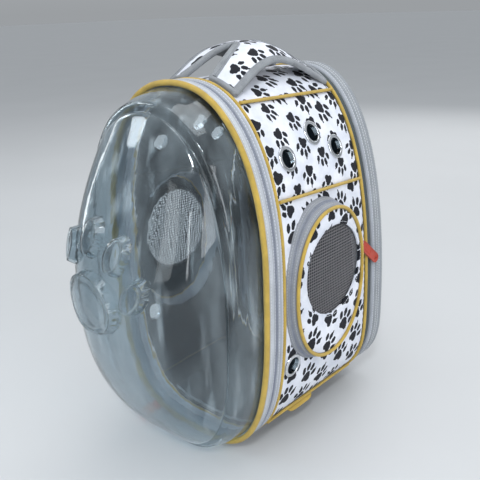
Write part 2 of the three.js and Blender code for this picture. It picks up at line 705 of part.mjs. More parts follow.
const bubbleOuter = join(domeSolid(0, BUBBLE_FLANGE), ...PAW_PADS.map((pad) => padBoss(pad, 0, PAW_RELIEF, 16)));
const bubbleInner = join(
  domeSolid(BUBBLE_WALL, BUBBLE_FLANGE + 5),
  ...PAW_PADS.map((pad) => padBoss(pad, BUBBLE_WALL, PAW_RELIEF - BUBBLE_WALL, 20)),
);
add('bubble_shell', cut(bubbleOuter, bubbleInner), CLEAR);

// Zip sliders with a headed pin, and the pull tabs that turn on the pins
function roundedStrip(length, width, holes, thickness) {
  const shape = new THREE.Shape();
  const r = width / 2;
  shape.absarc(0, 0, r, Math.PI / 2, (3 * Math.PI) / 2);
  shape.absarc(length - width, 0, r, -Math.PI / 2, Math.PI / 2);
  shape.closePath();
  for (const { x, radius } of holes) {
    const hole = new THREE.Path();
    hole.absarc(x, 0, radius, 0, Math.PI * 2, true);
    shape.holes.push(hole);
  }
  return new THREE.ExtrudeGeometry(shape, { depth: thickness, bevelEnabled: false, curveSegments: 6 });
}

function sliderGeometry() {
  const shape = new THREE.Shape();
  const [x, y] = [SLIDER.length / 2, SLIDER.width / 2];
  shape.moveTo(-x, -y * 0.7);
  shape.lineTo(-x * 0.4, -y);
  shape.lineTo(x, -y);
  shape.lineTo(x, y);
  shape.lineTo(-x * 0.4, y);
  shape.lineTo(-x, y * 0.7);
  const body = new THREE.ExtrudeGeometry(shape, { depth: SLIDER.height, bevelEnabled: false });
  const pinTop = SLIDER.height + GAP + TAB.thickness + GAP;
  const profile = [
    [0, SLIDER.height - 1],
    [SLIDER.pinRadius, SLIDER.height - 1],
    [SLIDER.pinRadius, pinTop],
    [SLIDER.headRadius, pinTop],
    [SLIDER.headRadius, pinTop + SLIDER.headHeight],
    [0, pinTop + SLIDER.headHeight],
  ].map(([radius, height]) => new THREE.Vector2(radius, height));
  const pin = new THREE.LatheGeometry(profile, 12);
  pin.rotateX(Math.PI / 2);
  return join(body, pin);
}

function tabGeometry(length) {
  const tab = roundedStrip(length, TAB.width, [
    { x: 0, radius: TAB.hole },
    { x: length - TAB.width, radius: TAB.endHole },
  ], TAB.thickness);
  tab.translate(0, 0, SLIDER.height + GAP);
  return tab;
}

// Puts a piece drawn flat, facing +Z and pointing along +X, on a face with a given direction
function placed(geometry, origin, facing, pointing) {
  const across = new THREE.Vector3().crossVectors(facing, pointing).normalize();
  const along = new THREE.Vector3().crossVectors(across, facing);
  geometry.applyMatrix4(new THREE.Matrix4().makeBasis(along, across, facing));
  geometry.translate(origin.x, origin.y, origin.z);
  return geometry;
}

const windowSliderY = WINDOW_Y + WINDOW_HALF_WIDTH + WINDOW.flare + GAP + WINDOW_SLIDER.fromWindow;
const windowSliderShare = wallShareAt(windowSliderY, WINDOW_SLIDER.height * BODY_HEIGHT + FOOT_HEIGHT);
const windowSliderPoint = bodyPoint(windowSliderY, windowSliderShare / 2, GAP + 0.4).point;
const straightOut = new THREE.Vector3(1, 0, 0);
const restTurn = THREE.MathUtils.degToRad(WINDOW_SLIDER.restAngle);
const tabPointing = new THREE.Vector3(0, Math.cos(restTurn), Math.sin(restTurn));
addBothSides('window_slider', placed(sliderGeometry(), windowSliderPoint, straightOut, new THREE.Vector3(0, 0, 1)), CHROME);
addBothSides('window_pull_tab', placed(tabGeometry(TAB.length), windowSliderPoint, straightOut, tabPointing), TAB_RED);

const bubbleSliderPlace = bodyPoint((BAND_FRONT + BAND_REAR) / 2, 1 - BUBBLE_SLIDER.share / 2, BAND_BULGE + GAP);
const alongZip = new THREE.Vector3(0, 1, 0).cross(bubbleSliderPlace.normal);
add('bubble_slider', placed(sliderGeometry(), bubbleSliderPlace.point, bubbleSliderPlace.normal, alongZip), CHROME);
add('bubble_pull_tab', placed(
  tabGeometry(BUBBLE_TAB_LENGTH), bubbleSliderPlace.point, bubbleSliderPlace.normal, new THREE.Vector3(0, -1, 0),
), TAB_ORANGE);

// Feet, cut to the underside of the base
for (const [name, side, y] of [
  ['foot_front_right', RIGHT, WALL_FRONT + FOOT.fromFront],
  ['foot_front_left', LEFT, WALL_FRONT + FOOT.fromFront],
  ['foot_rear_right', RIGHT, WALL_REAR - FOOT.fromRear],
  ['foot_rear_left', LEFT, WALL_REAR - FOOT.fromRear],
]) {
  const profile = [
    [0, 0],
    [FOOT.radius * 0.55, 0],
    [FOOT.radius * 0.85, 1.2],
    [FOOT.radius, 3.4],
    [FOOT.radius, 30],
    [0, 30],
  ].map(([radius, height]) => new THREE.Vector2(radius, height));
  const post = new THREE.LatheGeometry(profile, 12);
  post.rotateX(Math.PI / 2);
  post.translate(side * FOOT.x * BODY_WIDTH, y, 0);
  add(name, cut(post, aboveBase), FOOT_GREY);
}

// Folded tabs sewn in under the base seam
const tabRings = [];
for (const y of [WALL_FRONT + BASE_TAB.fromFront, WALL_FRONT + BASE_TAB.fromFront + BASE_TAB.length]) {
  const turn = seamAt(BASE_SEAM, y) / 2 - 0.006;
  const { point, normal } = bodyPoint(y, turn, GAP);
  const along = new THREE.Vector3(-normal.z, 0, normal.x);
  const corner = (u, v) => point.clone().addScaledVector(along, u).addScaledVector(normal, v);
  const t = BASE_TAB.thickness / 2;
  tabRings.push([corner(-t, 0), corner(-t, BASE_TAB.reach), corner(t, BASE_TAB.reach), corner(t, 0)]);
}
addBothSides('base_tab', bodyFrom(tabRings), YELLOW);

// Handle: heights above the top of the body, over a plan with four feet and an arch on each side
const HANDLE_FRONT = WALL_FRONT + 2;
const HANDLE_REAR = WALL_REAR - 2;
const HANDLE_MIDDLE = (HANDLE_FRONT + HANDLE_REAR) / 2;
const topSeamX = (y) => bodyPoint(y, seamAt(TOP_SEAM, y) / 2).point.x;
const OUTER_FOOT = Math.min(topSeamX(HANDLE_FRONT), topSeamX(HANDLE_REAR)) - HANDLE.seamMargin;

function topHeight(x, y) {
  let [low, high] = [0.7, 1];
  for (let k = 0; k < 30; k += 1) {
    const middle = (low + high) / 2;
    if (bodyPoint(y, middle / 2).point.x > Math.abs(x)) low = middle;
    else high = middle;
  }
  return bodyPoint(y, low / 2).point.z;
}

function handlePoint(u, v, lift) {
  const side = HANDLE_SIDES[u >= 0 ? 0 : 1];
  const outer = OUTER_FOOT;
  const inner = HANDLE.innerFoot / outer;
  const arch = Math.abs(u) < inner ? Math.cos((Math.PI / 2) * (u / inner)) : 0;
  const reach = (HANDLE_REAR - HANDLE_FRONT) / 2;
  const depth = reach - arch * (reach - HANDLE.waist);
  const y = HANDLE_MIDDLE + v * depth;
  const footShare = Math.abs(y - HANDLE_MIDDLE) / reach;
  const width = outer * (side.waist + (1 - side.waist) * footShare ** 1.5);
  const x = u * width;
  const climb = Math.sin((Math.PI / 2) * (1 - footShare)) ** 1.2;
  const rise = (HANDLE.rise + side.fall * u * u) * climb;
  return new THREE.Vector3(x, y, topHeight(x, y) + GAP + 0.5 + rise + lift);
}

// Columns of the sheet: four over each foot and twelve over the arch between the feet
const ARCH_SHARE = HANDLE.innerFoot / OUTER_FOOT;
const ARCH_STEPS = 12;
const FOOT_STEPS = 4;
const sheetRows = 12;
const columns = [];
for (let k = 0; k < FOOT_STEPS; k += 1) columns.push(-1 + ((1 - ARCH_SHARE) * k) / FOOT_STEPS);
for (let k = 0; k <= ARCH_STEPS; k += 1) columns.push(ARCH_SHARE * (-1 + (2 * k) / ARCH_STEPS));
for (let k = 1; k <= FOOT_STEPS; k += 1) columns.push(ARCH_SHARE + ((1 - ARCH_SHARE) * k) / FOOT_STEPS);
const sheetRings = [];
for (let j = 0; j <= sheetRows; j += 1) {
  const v = -1 + (2 * j) / sheetRows;
  const under = [];
  const over = [];
  for (const u of columns) {
    under.push(handlePoint(u, v, 0));
    over.push(handlePoint(u, v, HANDLE.thickness));
  }
  sheetRings.push([...under, ...over.reverse()]);
}
add('handle_sheet', sheetBody(sheetRings, columns.length), PAW_CLOTH);

// A sheet from strips whose ends are closed by quads between the lower and the upper points
function sheetBody(rings, width) {
  const count = width * 2;
  const positions = rings.flatMap((ring) => ring.flatMap((p) => [p.x, p.y, p.z]));
  const index = [];
  for (let k = 0; k < rings.length - 1; k += 1) {
    for (let i = 0; i < count; i += 1) {
      const j = (i + 1) % count;
      const [a, b] = [k * count, (k + 1) * count];
      index.push(a + i, a + j, b + j, a + i, b + j, b + i);
    }
  }
  for (const [k, flip] of [[0, true], [rings.length - 1, false]]) {
    for (let i = 0; i < width - 1; i += 1) {
      const [a, b] = [k * count + i, k * count + i + 1];
      const [c, d] = [(k + 1) * count - 2 - i, (k + 1) * count - 1 - i];
      if (flip) index.push(b, a, d, b, d, c);
      else index.push(a, b, d, b, c, d);
    }
  }
  const geometry = new THREE.BufferGeometry();
  geometry.setAttribute('position', new THREE.Float32BufferAttribute(positions, 3));
  geometry.setIndex(index);
  return facingOut(geometry);
}

// Grey binding along the four arches of the handle
function handleBinding(edgePoint, steps) {
  const path = Array.from({ length: steps + 1 }, (_, k) => edgePoint(k / steps));
  const rings = path.map((p, k) => {
    const along = path[Math.min(k + 1, steps)].clone().sub(path[Math.max(k - 1, 0)]).normalize();
    const flat = new THREE.Vector3().crossVectors(along, new THREE.Vector3(0, 0, 1)).normalize();
    const up = new THREE.Vector3().crossVectors(flat, along);
    return Array.from({ length: PIPING_SIDES }, (_, j) => {
      const angle = (2 * Math.PI * j) / PIPING_SIDES;
      return p.clone()
        .addScaledVector(flat, HANDLE.binding * Math.cos(angle))
        .addScaledVector(up, HANDLE.binding * Math.sin(angle));
    });
  });
  return bodyFrom(rings);
}

// Beside an edge of the sheet, given as a path of u and v, on the side away from the sheet
function besideEdge(edge, share, side) {
  const place = ([u, v]) => handlePoint(u, v, HANDLE.thickness / 2);
  const here = place(edge(share));
  const along = place(edge(Math.min(share + 0.01, 1))).sub(place(edge(Math.max(share - 0.01, 0))));
  const outward = along.cross(new THREE.Vector3(0, 0, side)).normalize();
  return here.addScaledVector(outward, HANDLE.binding + GAP + 0.3);
}

const archReach = ARCH_SHARE * (1 - 2 / ARCH_STEPS);
const crossArch = (sign) => (share) => besideEdge((t) => [(t * 2 - 1) * archReach, sign], share, -sign);
const sideArch = (sign) => (share) => besideEdge((t) => [sign, (t * 2 - 1) * 0.97], share, sign);
add('handle_binding_front', handleBinding(crossArch(-1), ARCH_STEPS - 2), WEB_GREY);
add('handle_binding_rear', handleBinding(crossArch(1), ARCH_STEPS - 2), WEB_GREY);
add('handle_binding_right', handleBinding(sideArch(1), 14), WEB_GREY);
add('handle_binding_left', handleBinding(sideArch(-1), 14), WEB_GREY);

// Shoulder straps behind the back panel: padded strap, adjuster and webbing
function strip(points, width, thickness, steps) {
  const path = new THREE.CatmullRomCurve3(points);
  const rings = [];
  for (let k = 0; k <= steps; k += 1) {
    const p = path.getPoint(k / steps);
    const along = path.getTangent(k / steps);
    const face = new THREE.Vector3(0, -along.z, along.y).normalize();
    const corner = (u, v) => p.clone().add(new THREE.Vector3(u, 0, 0)).addScaledVector(face, v);
    const [w, t] = [width / 2, thickness / 2];
    rings.push([corner(-w, -t), corner(w, -t), corner(w, t), corner(-w, t)]);
  }
  return bodyFrom(rings);
}

const strapFaceY = BACK_FACE_Y + GAP + 0.3 + STRAP.thickness / 2;
const strapFarY = BACK_FACE_Y + STRAP.standOff;
const strapTopZ = STRAP.topZ * BODY_HEIGHT;
const strapLowZ = STRAP.lowZ * BODY_HEIGHT;
const strapTopX = STRAP.topX * BODY_WIDTH;
const strapLowX = STRAP.lowX * BODY_WIDTH;
const strapSpan = strapTopZ - strapLowZ;
const strapRun = strapLowX - strapTopX;
const webbingX = WEBBING.lowX * BODY_WIDTH;
const webbingZ = WEBBING.lowZ * BODY_HEIGHT;
addBothSides('shoulder_strap', strip([
  new THREE.Vector3(strapTopX, strapFaceY, strapTopZ),
  new THREE.Vector3(strapTopX, strapFaceY + 1, strapTopZ - STRAP.sewn),
  new THREE.Vector3(strapTopX + strapRun * 0.12, strapFaceY + (strapFarY - strapFaceY) * 0.45, strapTopZ - strapSpan * 0.15),
  new THREE.Vector3(strapTopX + strapRun * 0.5, strapFarY, strapTopZ - strapSpan * 0.45),
  new THREE.Vector3(strapLowX, strapFarY - 8, strapLowZ),
], STRAP.width, STRAP.thickness, 16), WEB_GREY);

const adjusterZ = strapLowZ - GAP - 0.4 - ADJUSTER.height / 2;
const adjusterY = strapFarY - 9.5;
const frame = new THREE.Shape();
const [frameX, frameZ] = [ADJUSTER.width / 2, ADJUSTER.height / 2];
frame.moveTo(-frameX, -frameZ);
frame.lineTo(frameX, -frameZ);
frame.lineTo(frameX, frameZ);
frame.lineTo(-frameX, frameZ);
const slot = new THREE.Path();
const [slotX, slotZ] = [frameX - ADJUSTER.bar, frameZ - ADJUSTER.bar];
slot.moveTo(-slotX, -slotZ);
slot.lineTo(-slotX, slotZ);
slot.lineTo(slotX, slotZ);
slot.lineTo(slotX, -slotZ);
frame.holes.push(slot);
const adjuster = new THREE.ExtrudeGeometry(frame, { depth: ADJUSTER.thickness, bevelEnabled: false });
adjuster.rotateX(Math.PI / 2);
adjuster.translate(strapLowX, adjusterY + ADJUSTER.thickness / 2, adjusterZ);
addBothSides('strap_adjuster', adjuster, FOOT_GREY);

const slotLowZ = adjusterZ - slotZ;
const webbingFaceY = BACK_FACE_Y + GAP + 0.3 + WEBBING.thickness / 2;
addBothSides('strap_webbing', strip([
  new THREE.Vector3(strapLowX, adjusterY + ADJUSTER.thickness, adjusterZ + WEBBING.thickness),
  new THREE.Vector3(strapLowX, adjusterY, adjusterZ - WEBBING.thickness),
  new THREE.Vector3(strapLowX, adjusterY - ADJUSTER.thickness, slotLowZ),
  new THREE.Vector3(strapLowX + 2, adjusterY - ADJUSTER.thickness * 2, slotLowZ - 10),
  new THREE.Vector3(webbingX, webbingFaceY, webbingZ + WEBBING.sewn),
  new THREE.Vector3(webbingX, webbingFaceY, webbingZ),
], WEBBING.width, WEBBING.thickness, 18), WEB_GREY);

// The origin: the middle of the footprint, on the floor
const bounds = new THREE.Box3().setFromObject(model);
const footprint = bounds.getCenter(new THREE.Vector3());
model.position.set(-footprint.x, -footprint.y, -bounds.min.z);

export default model;
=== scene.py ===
"""Looks of a pet carrier backpack with a clear moulded bubble front.

Shapes are worked out in millimetres in the carrier's own frame, where the front rim lies at y = 0.
place() turns them into metres in the shared frame.
"""
import json
import math

import bmesh
import bpy
import numpy as np
from mathutils import Matrix, Vector


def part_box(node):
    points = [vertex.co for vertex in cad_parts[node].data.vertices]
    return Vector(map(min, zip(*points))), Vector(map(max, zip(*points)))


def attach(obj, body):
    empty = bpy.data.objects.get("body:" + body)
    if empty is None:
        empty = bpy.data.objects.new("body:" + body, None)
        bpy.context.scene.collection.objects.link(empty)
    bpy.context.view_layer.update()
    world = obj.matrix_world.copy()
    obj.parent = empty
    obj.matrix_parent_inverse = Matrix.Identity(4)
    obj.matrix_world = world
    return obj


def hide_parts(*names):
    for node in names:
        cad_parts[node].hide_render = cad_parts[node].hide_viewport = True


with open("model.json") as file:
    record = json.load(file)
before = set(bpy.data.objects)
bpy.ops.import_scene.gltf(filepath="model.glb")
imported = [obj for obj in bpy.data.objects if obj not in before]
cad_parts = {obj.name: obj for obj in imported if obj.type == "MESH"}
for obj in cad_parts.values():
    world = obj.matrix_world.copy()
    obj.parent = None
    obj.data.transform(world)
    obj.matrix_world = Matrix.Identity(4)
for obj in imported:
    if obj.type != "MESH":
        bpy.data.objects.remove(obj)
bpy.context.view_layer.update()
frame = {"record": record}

# Sizes of the body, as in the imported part
BODY_WIDTH = 230
BODY_HEIGHT = 400
BODY_DEPTH = 236
FOOT_HEIGHT = 4
CLOTH = 3.0
FRONT_RIM = dict(width=1, low=0, middle=0.525, high=1, top_power=2.27, low_power=3.2)
REAR_RIM = dict(width=0.965, low=0.015, middle=0.25, high=1.005, top_power=2.4, low_power=2.7)
SEAMS = dict(base=(0.175, 0.186), middle=(0.681, 0.664), top=(0.878, 0.87))
WALL_FRONT, WALL_REAR = 31.3, 192.7
BAND_FRONT, BAND_REAR = 3.9, 26.5
FRONT_THIN_Y, REAR_THIN_Y = 28.9, 195.1
GROOVE_FRONT, RIM_FRONT = 197.5, 210.3
BUBBLE_DEPTH, BUBBLE_WALL, BUBBLE_FLANGE, BUBBLE_AXIS = 106, 2, 14, 190
FLANGE_OUT = -4.0

WINDOW_Y, WINDOW_Z = 100.0, 188.5
WINDOW_HALF_WIDTH, WINDOW_HALF_HEIGHT, WINDOW_POWER = 61.5, 83.5, 2.15
WINDOW_FLARE = 7
MESH_Y, MESH_Z, MESH_RADIUS = 105.0, 202.0, 50.5

LOWEST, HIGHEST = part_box("front_piping")
RIM_SHIFT = (LOWEST[1] + HIGHEST[1]) / 2
WINDOW_FACE_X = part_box("window_piping_right")[1][0] * 1000 - 2.1
MAIN_BODY = "carrier"
STEPS = 400


def place(points):
    """Millimetres in the carrier's frame to metres in the shared frame."""
    moved = np.array(points, dtype=float) / 1000
    moved[..., 1] += RIM_SHIFT
    return moved


def own_place(position):
    """Metres in the shared frame to millimetres in the carrier's frame."""
    moved = np.array(position, dtype=float) * 1000
    moved[..., 1] -= RIM_SHIFT * 1000
    return moved


SIDES = ((1, "right"), (-1, "left"))
ACROSS = np.array([1.0, 0, 0])
BACKWARDS = np.array([0, 1.0, 0])


def unit(vectors):
    return vectors / np.linalg.norm(vectors, axis=-1, keepdims=True)


def angles(count):
    """Even angles round a circle."""
    return 2 * math.pi * np.arange(count) / count


def powered(values, power):
    """A power that keeps the sign, for rounded outlines."""
    return np.sign(values) * np.abs(values) ** power


def at_places(want, run, points):
    """Points at the wanted places of a running length."""
    return np.stack([np.interp(want, run, column) for column in points.T], -1)


def columns(rows):
    """Joins rows that hold the same few arrays, array by array."""
    return [np.concatenate(arrays) for arrays in zip(*rows)]


def sections(path, first, second, wide, high):
    """Rings along a path: wide and high say how far each ring's points lie along the two directions."""
    return path[:, None] + wide[None, :, None] * first[:, None] + high[None, :, None] * second[:, None]


def search(low, high, shape, rounds, still_low):
    """Halves a range until it closes on the place where still_low stops being true."""
    low, high = np.full(shape, low), np.full(shape, high)
    for _ in range(rounds):
        middle = (low + high) / 2
        stays = still_low(middle)
        low, high = np.where(stays, middle, low), np.where(stays, high, middle)
    return low


# Outline of the body


def half_outline(rim):
    """The right half of a rim from its lowest point to its highest, evenly spaced, and its length."""
    half_width = rim["width"] * BODY_WIDTH / 2
    angle = np.linspace(0, math.pi / 2, 601)
    low_power, top_power = 2 / rim["low_power"], 2 / rim["top_power"]
    low = np.stack([
        half_width * np.sin(angle) ** low_power,
        rim["middle"] - (rim["middle"] - rim["low"]) * np.cos(angle) ** low_power,
    ], 1)
    top = np.stack([
        half_width * np.maximum(np.cos(angle), 0) ** top_power,
        rim["middle"] + (rim["high"] - rim["middle"]) * np.sin(angle) ** top_power,
    ], 1)
    raw = np.concatenate([low, top[1:]])
    raw[:, 1] *= BODY_HEIGHT
    raw[-1, 0] = 0
    length = np.concatenate([[0], np.cumsum(np.hypot(*np.diff(raw, axis=0).T))])
    even = np.linspace(0, length[-1], STEPS + 1)
    return np.interp(even, length, raw[:, 0]), np.interp(even, length, raw[:, 1]) + FOOT_HEIGHT, length[-1]


FRONT_X, FRONT_Z, HALF_ROUND = half_outline(FRONT_RIM)
REAR_X, REAR_Z, _ = half_outline(REAR_RIM)
SHARES = np.linspace(0, 1, STEPS + 1)


def blended(y, share):
    """Half width and height of the body at a depth, between the outlines of the two rims."""
    back = y / BODY_DEPTH
    share = np.clip(share, 0, 1)
    x = np.interp(share, SHARES, FRONT_X) * (1 - back) + np.interp(share, SHARES, REAR_X) * back
    z = np.interp(share, SHARES, FRONT_Z) * (1 - back) + np.interp(share, SHARES, REAR_Z) * back
    return x, z


def body(y, turn, out=0.0):
    """Points on the body: turn runs from 0 to 1 round the outline, and out is the distance outwards."""
    y, turn, out = np.broadcast_arrays(
        np.asarray(y, float), np.asarray(turn, float), np.asarray(out, float)
    )
    wrapped = turn - np.floor(turn)
    side = np.where(wrapped <= 0.5, 1.0, -1.0)
    share = np.where(wrapped <= 0.5, wrapped * 2, (1 - wrapped) * 2)
    x, z = blended(y, share)
    step = 0.006
    before_x, before_z = blended(y, share - step)
    after_x, after_z = blended(y, share + step)
    along_x, along_z = after_x - before_x, after_z - before_z
    along_z = np.where(share < step, along_z * share / step, along_z)
    along_z = np.where(share > 1 - step, along_z * (1 - share) / step, along_z)
    size = np.hypot(along_x, along_z)
    normal_x, normal_z = along_z / size, -along_x / size
    return np.stack([side * (x + normal_x * out), y, z + normal_z * out], -1)


def body_normal(y, turn):
    return unit(body(y, turn, 1.0) - body(y, turn, 0.0))


def seam_share(name, y):
    front, rear = SEAMS[name]
    return front + (rear - front) * (y / BODY_DEPTH)


def wall_x(y, z):
    """How far the side wall stands out at a place on it."""
    share = search(0.08, 0.92, np.shape(z), 34, lambda middle: blended(y, middle)[1] < z)
    return blended(y, share)[0]


def oval(turn, grow=0.0):
    """Outline of the window door, grown outwards."""
    angle = 2 * math.pi * np.asarray(turn, float)
    y = powered(np.cos(angle), 2 / WINDOW_POWER) * WINDOW_HALF_WIDTH
    z = powered(np.sin(angle), 2 / WINDOW_POWER) * WINDOW_HALF_HEIGHT
    slope_y = powered(y / WINDOW_HALF_WIDTH, WINDOW_POWER - 1) / WINDOW_HALF_WIDTH
    slope_z = powered(z / WINDOW_HALF_HEIGHT, WINDOW_POWER - 1) / WINDOW_HALF_HEIGHT
    size = np.hypot(slope_y, slope_z)
    return WINDOW_Y + y + grow * slope_y / size, WINDOW_Z + z + grow * slope_z / size


def ripple(a, b, seed, longest=70.0, shortest=22.0, waves=7):
    """Slow unevenness between -1 and 1 over two lengths in millimetres."""
    rng = np.random.default_rng(seed)
    total = 0
    for _ in range(waves):
        angle = rng.uniform(0, 2 * math.pi)
        wave = rng.uniform(shortest, longest)
        phase = rng.uniform(0, 2 * math.pi)
        total = total + np.sin((a * math.cos(angle) + b * math.sin(angle)) * 2 * math.pi / wave + phase)
    return total / waves


# Materials


def linear(*shares):
    """A picture colour, 0 to 255 for each part, as a linear one."""
    parts = [share / 255 for share in shares]
    return tuple(part / 12.92 if part <= 0.04045 else ((part + 0.055) / 1.055) ** 2.4 for part in parts)


def opaque(colour, share=1.0):
    """A linear colour made lighter or darker by a share, with its alpha."""
    return tuple(min(part * share, 1) for part in colour) + (1,)


class Web:
    """Short ways to add nodes to a tree and to wire them."""

    def __init__(self, tree):
        self.tree = tree

    def node(self, kind, **settings):
        made = self.tree.nodes.new(kind)
        for key, value in settings.items():
            setattr(made, key, value)
        return made

    def put(self, socket, value):
        if isinstance(value, bpy.types.NodeSocket):
            self.tree.links.new(value, socket)
        elif value is not None:
            socket.default_value = value

    def math(self, operation, a, b=None, c=None, clamp=False):
        made = self.node("ShaderNodeMath", operation=operation, use_clamp=clamp)
        for socket, value in zip(made.inputs, (a, b, c)):
            self.put(socket, value)
        return made.outputs[0]

    def vector(self, operation, a, b=None):
        made = self.node("ShaderNodeVectorMath", operation=operation)
        self.put(made.inputs[0], a)
        self.put(made.inputs[1], b)
        return made.outputs["Value"] if operation == "LENGTH" else made.outputs["Vector"]

    def mix(self, factor, a, b):
        made = self.node("ShaderNodeMix", data_type="RGBA")
        self.put(made.inputs["Factor"], factor)
        self.put(made.inputs[6], a)
        self.put(made.inputs[7], b)
        return made.outputs[2]

    def ramp(self, value, low, high, to_low=0.0, to_high=1.0, smooth=False):
        made = self.node("ShaderNodeMapRange", interpolation_type="SMOOTHSTEP" if smooth else "LINEAR")
        for socket, number in zip(made.inputs, (value, low, high, to_low, to_high)):
            self.put(socket, number)
        return made.outputs[0]

    def noise(self, vector, scale, detail=2.0, rough=0.5):
        made = self.node("ShaderNodeTexNoise")
        self.put(made.inputs["Vector"], vector)
        made.inputs["Scale"].default_value = scale
        made.inputs["Detail"].default_value = detail
        made.inputs["Roughness"].default_value = rough
        return made.outputs["Fac"]

    def bump(self, height, strength, distance, normal=None):
        made = self.node("ShaderNodeBump")
        made.inputs["Strength"].default_value = strength
        made.inputs["Distance"].default_value = distance
        self.put(made.inputs["Height"], height)
        self.put(made.inputs["Normal"], normal)
        return made.outputs["Normal"]


def material(name):
    made = bpy.data.materials.new(name)
    made.use_nodes = True
    made.node_tree.nodes.clear()
    web = Web(made.node_tree)
    output = web.node("ShaderNodeOutputMaterial")
    shader = web.node("ShaderNodeBsdfPrincipled")
    web.put(output.inputs["Surface"], shader.outputs[0])
    return made, web, shader


def cloth_position(web):
    """Millimetres along and across the cloth."""
    return web.node("ShaderNodeUVMap", uv_map="cloth").outputs["UV"]


def weave_height(web, position, pitch):
    """Plain weave: threads over and under each other, and a little fluff."""
    parts = web.node("ShaderNodeSeparateXYZ")
    web.put(parts.inputs[0], position)
    warp = web.math("SINE", web.math("MULTIPLY", parts.outputs[0], 2 * math.pi / pitch))
    weft = web.math("SINE", web.math("MULTIPLY", parts.outputs[1], 2 * math.pi / pitch))
    return web.math("ADD", web.math("MULTIPLY", warp, weft), web.noise(position, 3.0 / pitch, 2.0))


def finish_cloth(web, shader, colour, normal, rough, sheen, specular=0.3):
    web.put(shader.inputs["Base Color"], colour)
    web.put(shader.inputs["Normal"], normal)
    shader.inputs["Roughness"].default_value = rough
    shader.inputs["Sheen Weight"].default_value = sheen
    shader.inputs["Specular IOR Level"].default_value = specular


def cloth(name, colour, pitch=0.9, strength=0.5, rough=0.85, sheen=0.15, vary=0.06):
    made, web, shader = material(name)
    position = cloth_position(web)
    height = weave_height(web, position, pitch)
    slow = web.noise(position, 0.05, 4.0, 0.6)
    tone = web.mix(web.ramp(slow, 0.3, 0.7), opaque(colour, 1 - 2.2 * vary), opaque(colour, 1 + vary))
    # Painted shade: the low points between the threads are darkened towards a dark copy of the colour
    threads = web.mix(web.ramp(height, -0.6, 1.2, 0.22, 0.0), tone, opaque(colour, 0.45))
    finish_cloth(web, shader, threads, web.bump(height, strength, 0.00025 * pitch), rough, sheen)
    return made


# The printed paw: a main pad of four parts, four toes and two claw tails, in shares of the print's reach
PRINT_PADS = (
    dict(x=0.0, y=-0.3, width=0.42, height=0.34, lean=0),
    dict(x=0.0, y=-0.1, width=0.27, height=0.25, lean=0),
    dict(x=-0.2, y=-0.46, width=0.28, height=0.24, lean=28),
    dict(x=0.22, y=-0.44, width=0.26, height=0.24, lean=-24),
    dict(x=-0.64, y=0.1, width=0.185, height=0.29, lean=24),
    dict(x=-0.26, y=0.47, width=0.185, height=0.31, lean=8),
    dict(x=0.24, y=0.48, width=0.18, height=0.31, lean=-8),
    dict(x=0.65, y=0.13, width=0.18, height=0.28, lean=-26),
    dict(x=-0.3, y=0.8, width=0.07, height=0.16, lean=12),
    dict(x=0.76, y=0.42, width=0.06, height=0.13, lean=-30),
)


def paw_print_group():
    """A node group: position in millimetres, cell size and base turn to a mask of scattered paws."""
    tree = bpy.data.node_groups.new("paw_print", "ShaderNodeTree")
    web = Web(tree)
    for label, kind in (
        ("Position", "NodeSocketVector"), ("Cell", "NodeSocketFloat"), ("Turn", "NodeSocketFloat")
    ):
        tree.interface.new_socket(label, in_out="INPUT", socket_type=kind)
    tree.interface.new_socket("Mask", in_out="OUTPUT", socket_type="NodeSocketFloat")
    entry = web.node("NodeGroupInput").outputs
    leave = web.node("NodeGroupOutput")
    wobble = web.node("ShaderNodeTexNoise")
    web.put(wobble.inputs["Vector"], entry["Position"])
    wobble.inputs["Scale"].default_value = 0.35
    centred = web.vector("SUBTRACT", wobble.outputs["Color"], (0.5, 0.5, 0.5))
    shaken = web.vector("ADD", entry["Position"], web.vector("MULTIPLY", centred, (2.6, 2.6, 0)))
    scaled = web.vector("DIVIDE", shaken, entry["Cell"])
    parts = web.node("ShaderNodeSeparateXYZ")
    web.put(parts.inputs[0], scaled)
    column = web.math("FLOOR", parts.outputs[0])
    shifted = web.math("ADD", parts.outputs[1], web.math("MULTIPLY", column, 0.5))
    row = web.math("FLOOR", shifted)
    cell = web.node("ShaderNodeCombineXYZ")
    web.put(cell.inputs[0], column)
    web.put(cell.inputs[1], row)
    chance = web.node("ShaderNodeTexWhiteNoise", noise_dimensions="3D")
    web.put(chance.inputs["Vector"], cell.outputs[0])
    drawn = web.node("ShaderNodeSeparateColor")
    web.put(drawn.inputs[0], chance.outputs["Color"])
    local = web.node("ShaderNodeCombineXYZ")
    for socket, share, chance_part in ((0, parts.outputs[0], 0), (1, shifted, 1)):
        jitter = web.ramp(drawn.outputs[chance_part], 0, 1, 0.42, 0.58)
        web.put(local.inputs[socket], web.math("SUBTRACT", web.math("FRACT", share), jitter))
    angle = web.math("ADD", entry["Turn"], web.ramp(drawn.outputs[2], 0, 1, -0.75, 0.75))
    turned = web.node("ShaderNodeVectorRotate", rotation_type="Z_AXIS")
    web.put(turned.inputs["Vector"], local.outputs[0])
    web.put(turned.inputs["Angle"], angle)
    reach = web.ramp(drawn.outputs[1], 0, 1, 0.44, 0.54)
    inside = web.vector("DIVIDE", turned.outputs[0], reach)
    nearest = None
    for pad in PRINT_PADS:
        shift = web.vector("SUBTRACT", inside, (pad["x"], pad["y"], 0))
        lean = web.node("ShaderNodeVectorRotate", rotation_type="Z_AXIS")
        web.put(lean.inputs["Vector"], shift)
        lean.inputs["Angle"].default_value = -math.radians(pad["lean"])
        size = web.vector(
            "LENGTH", web.vector("MULTIPLY", lean.outputs[0], (1 / pad["width"], 1 / pad["height"], 0))
        )
        nearest = size if nearest is None else web.math("MINIMUM", nearest, size)
    web.put(leave.inputs[0], web.ramp(nearest, 0.96, 1.06, 1.0, 0.0))
    return tree


PAW_GROUP = paw_print_group()


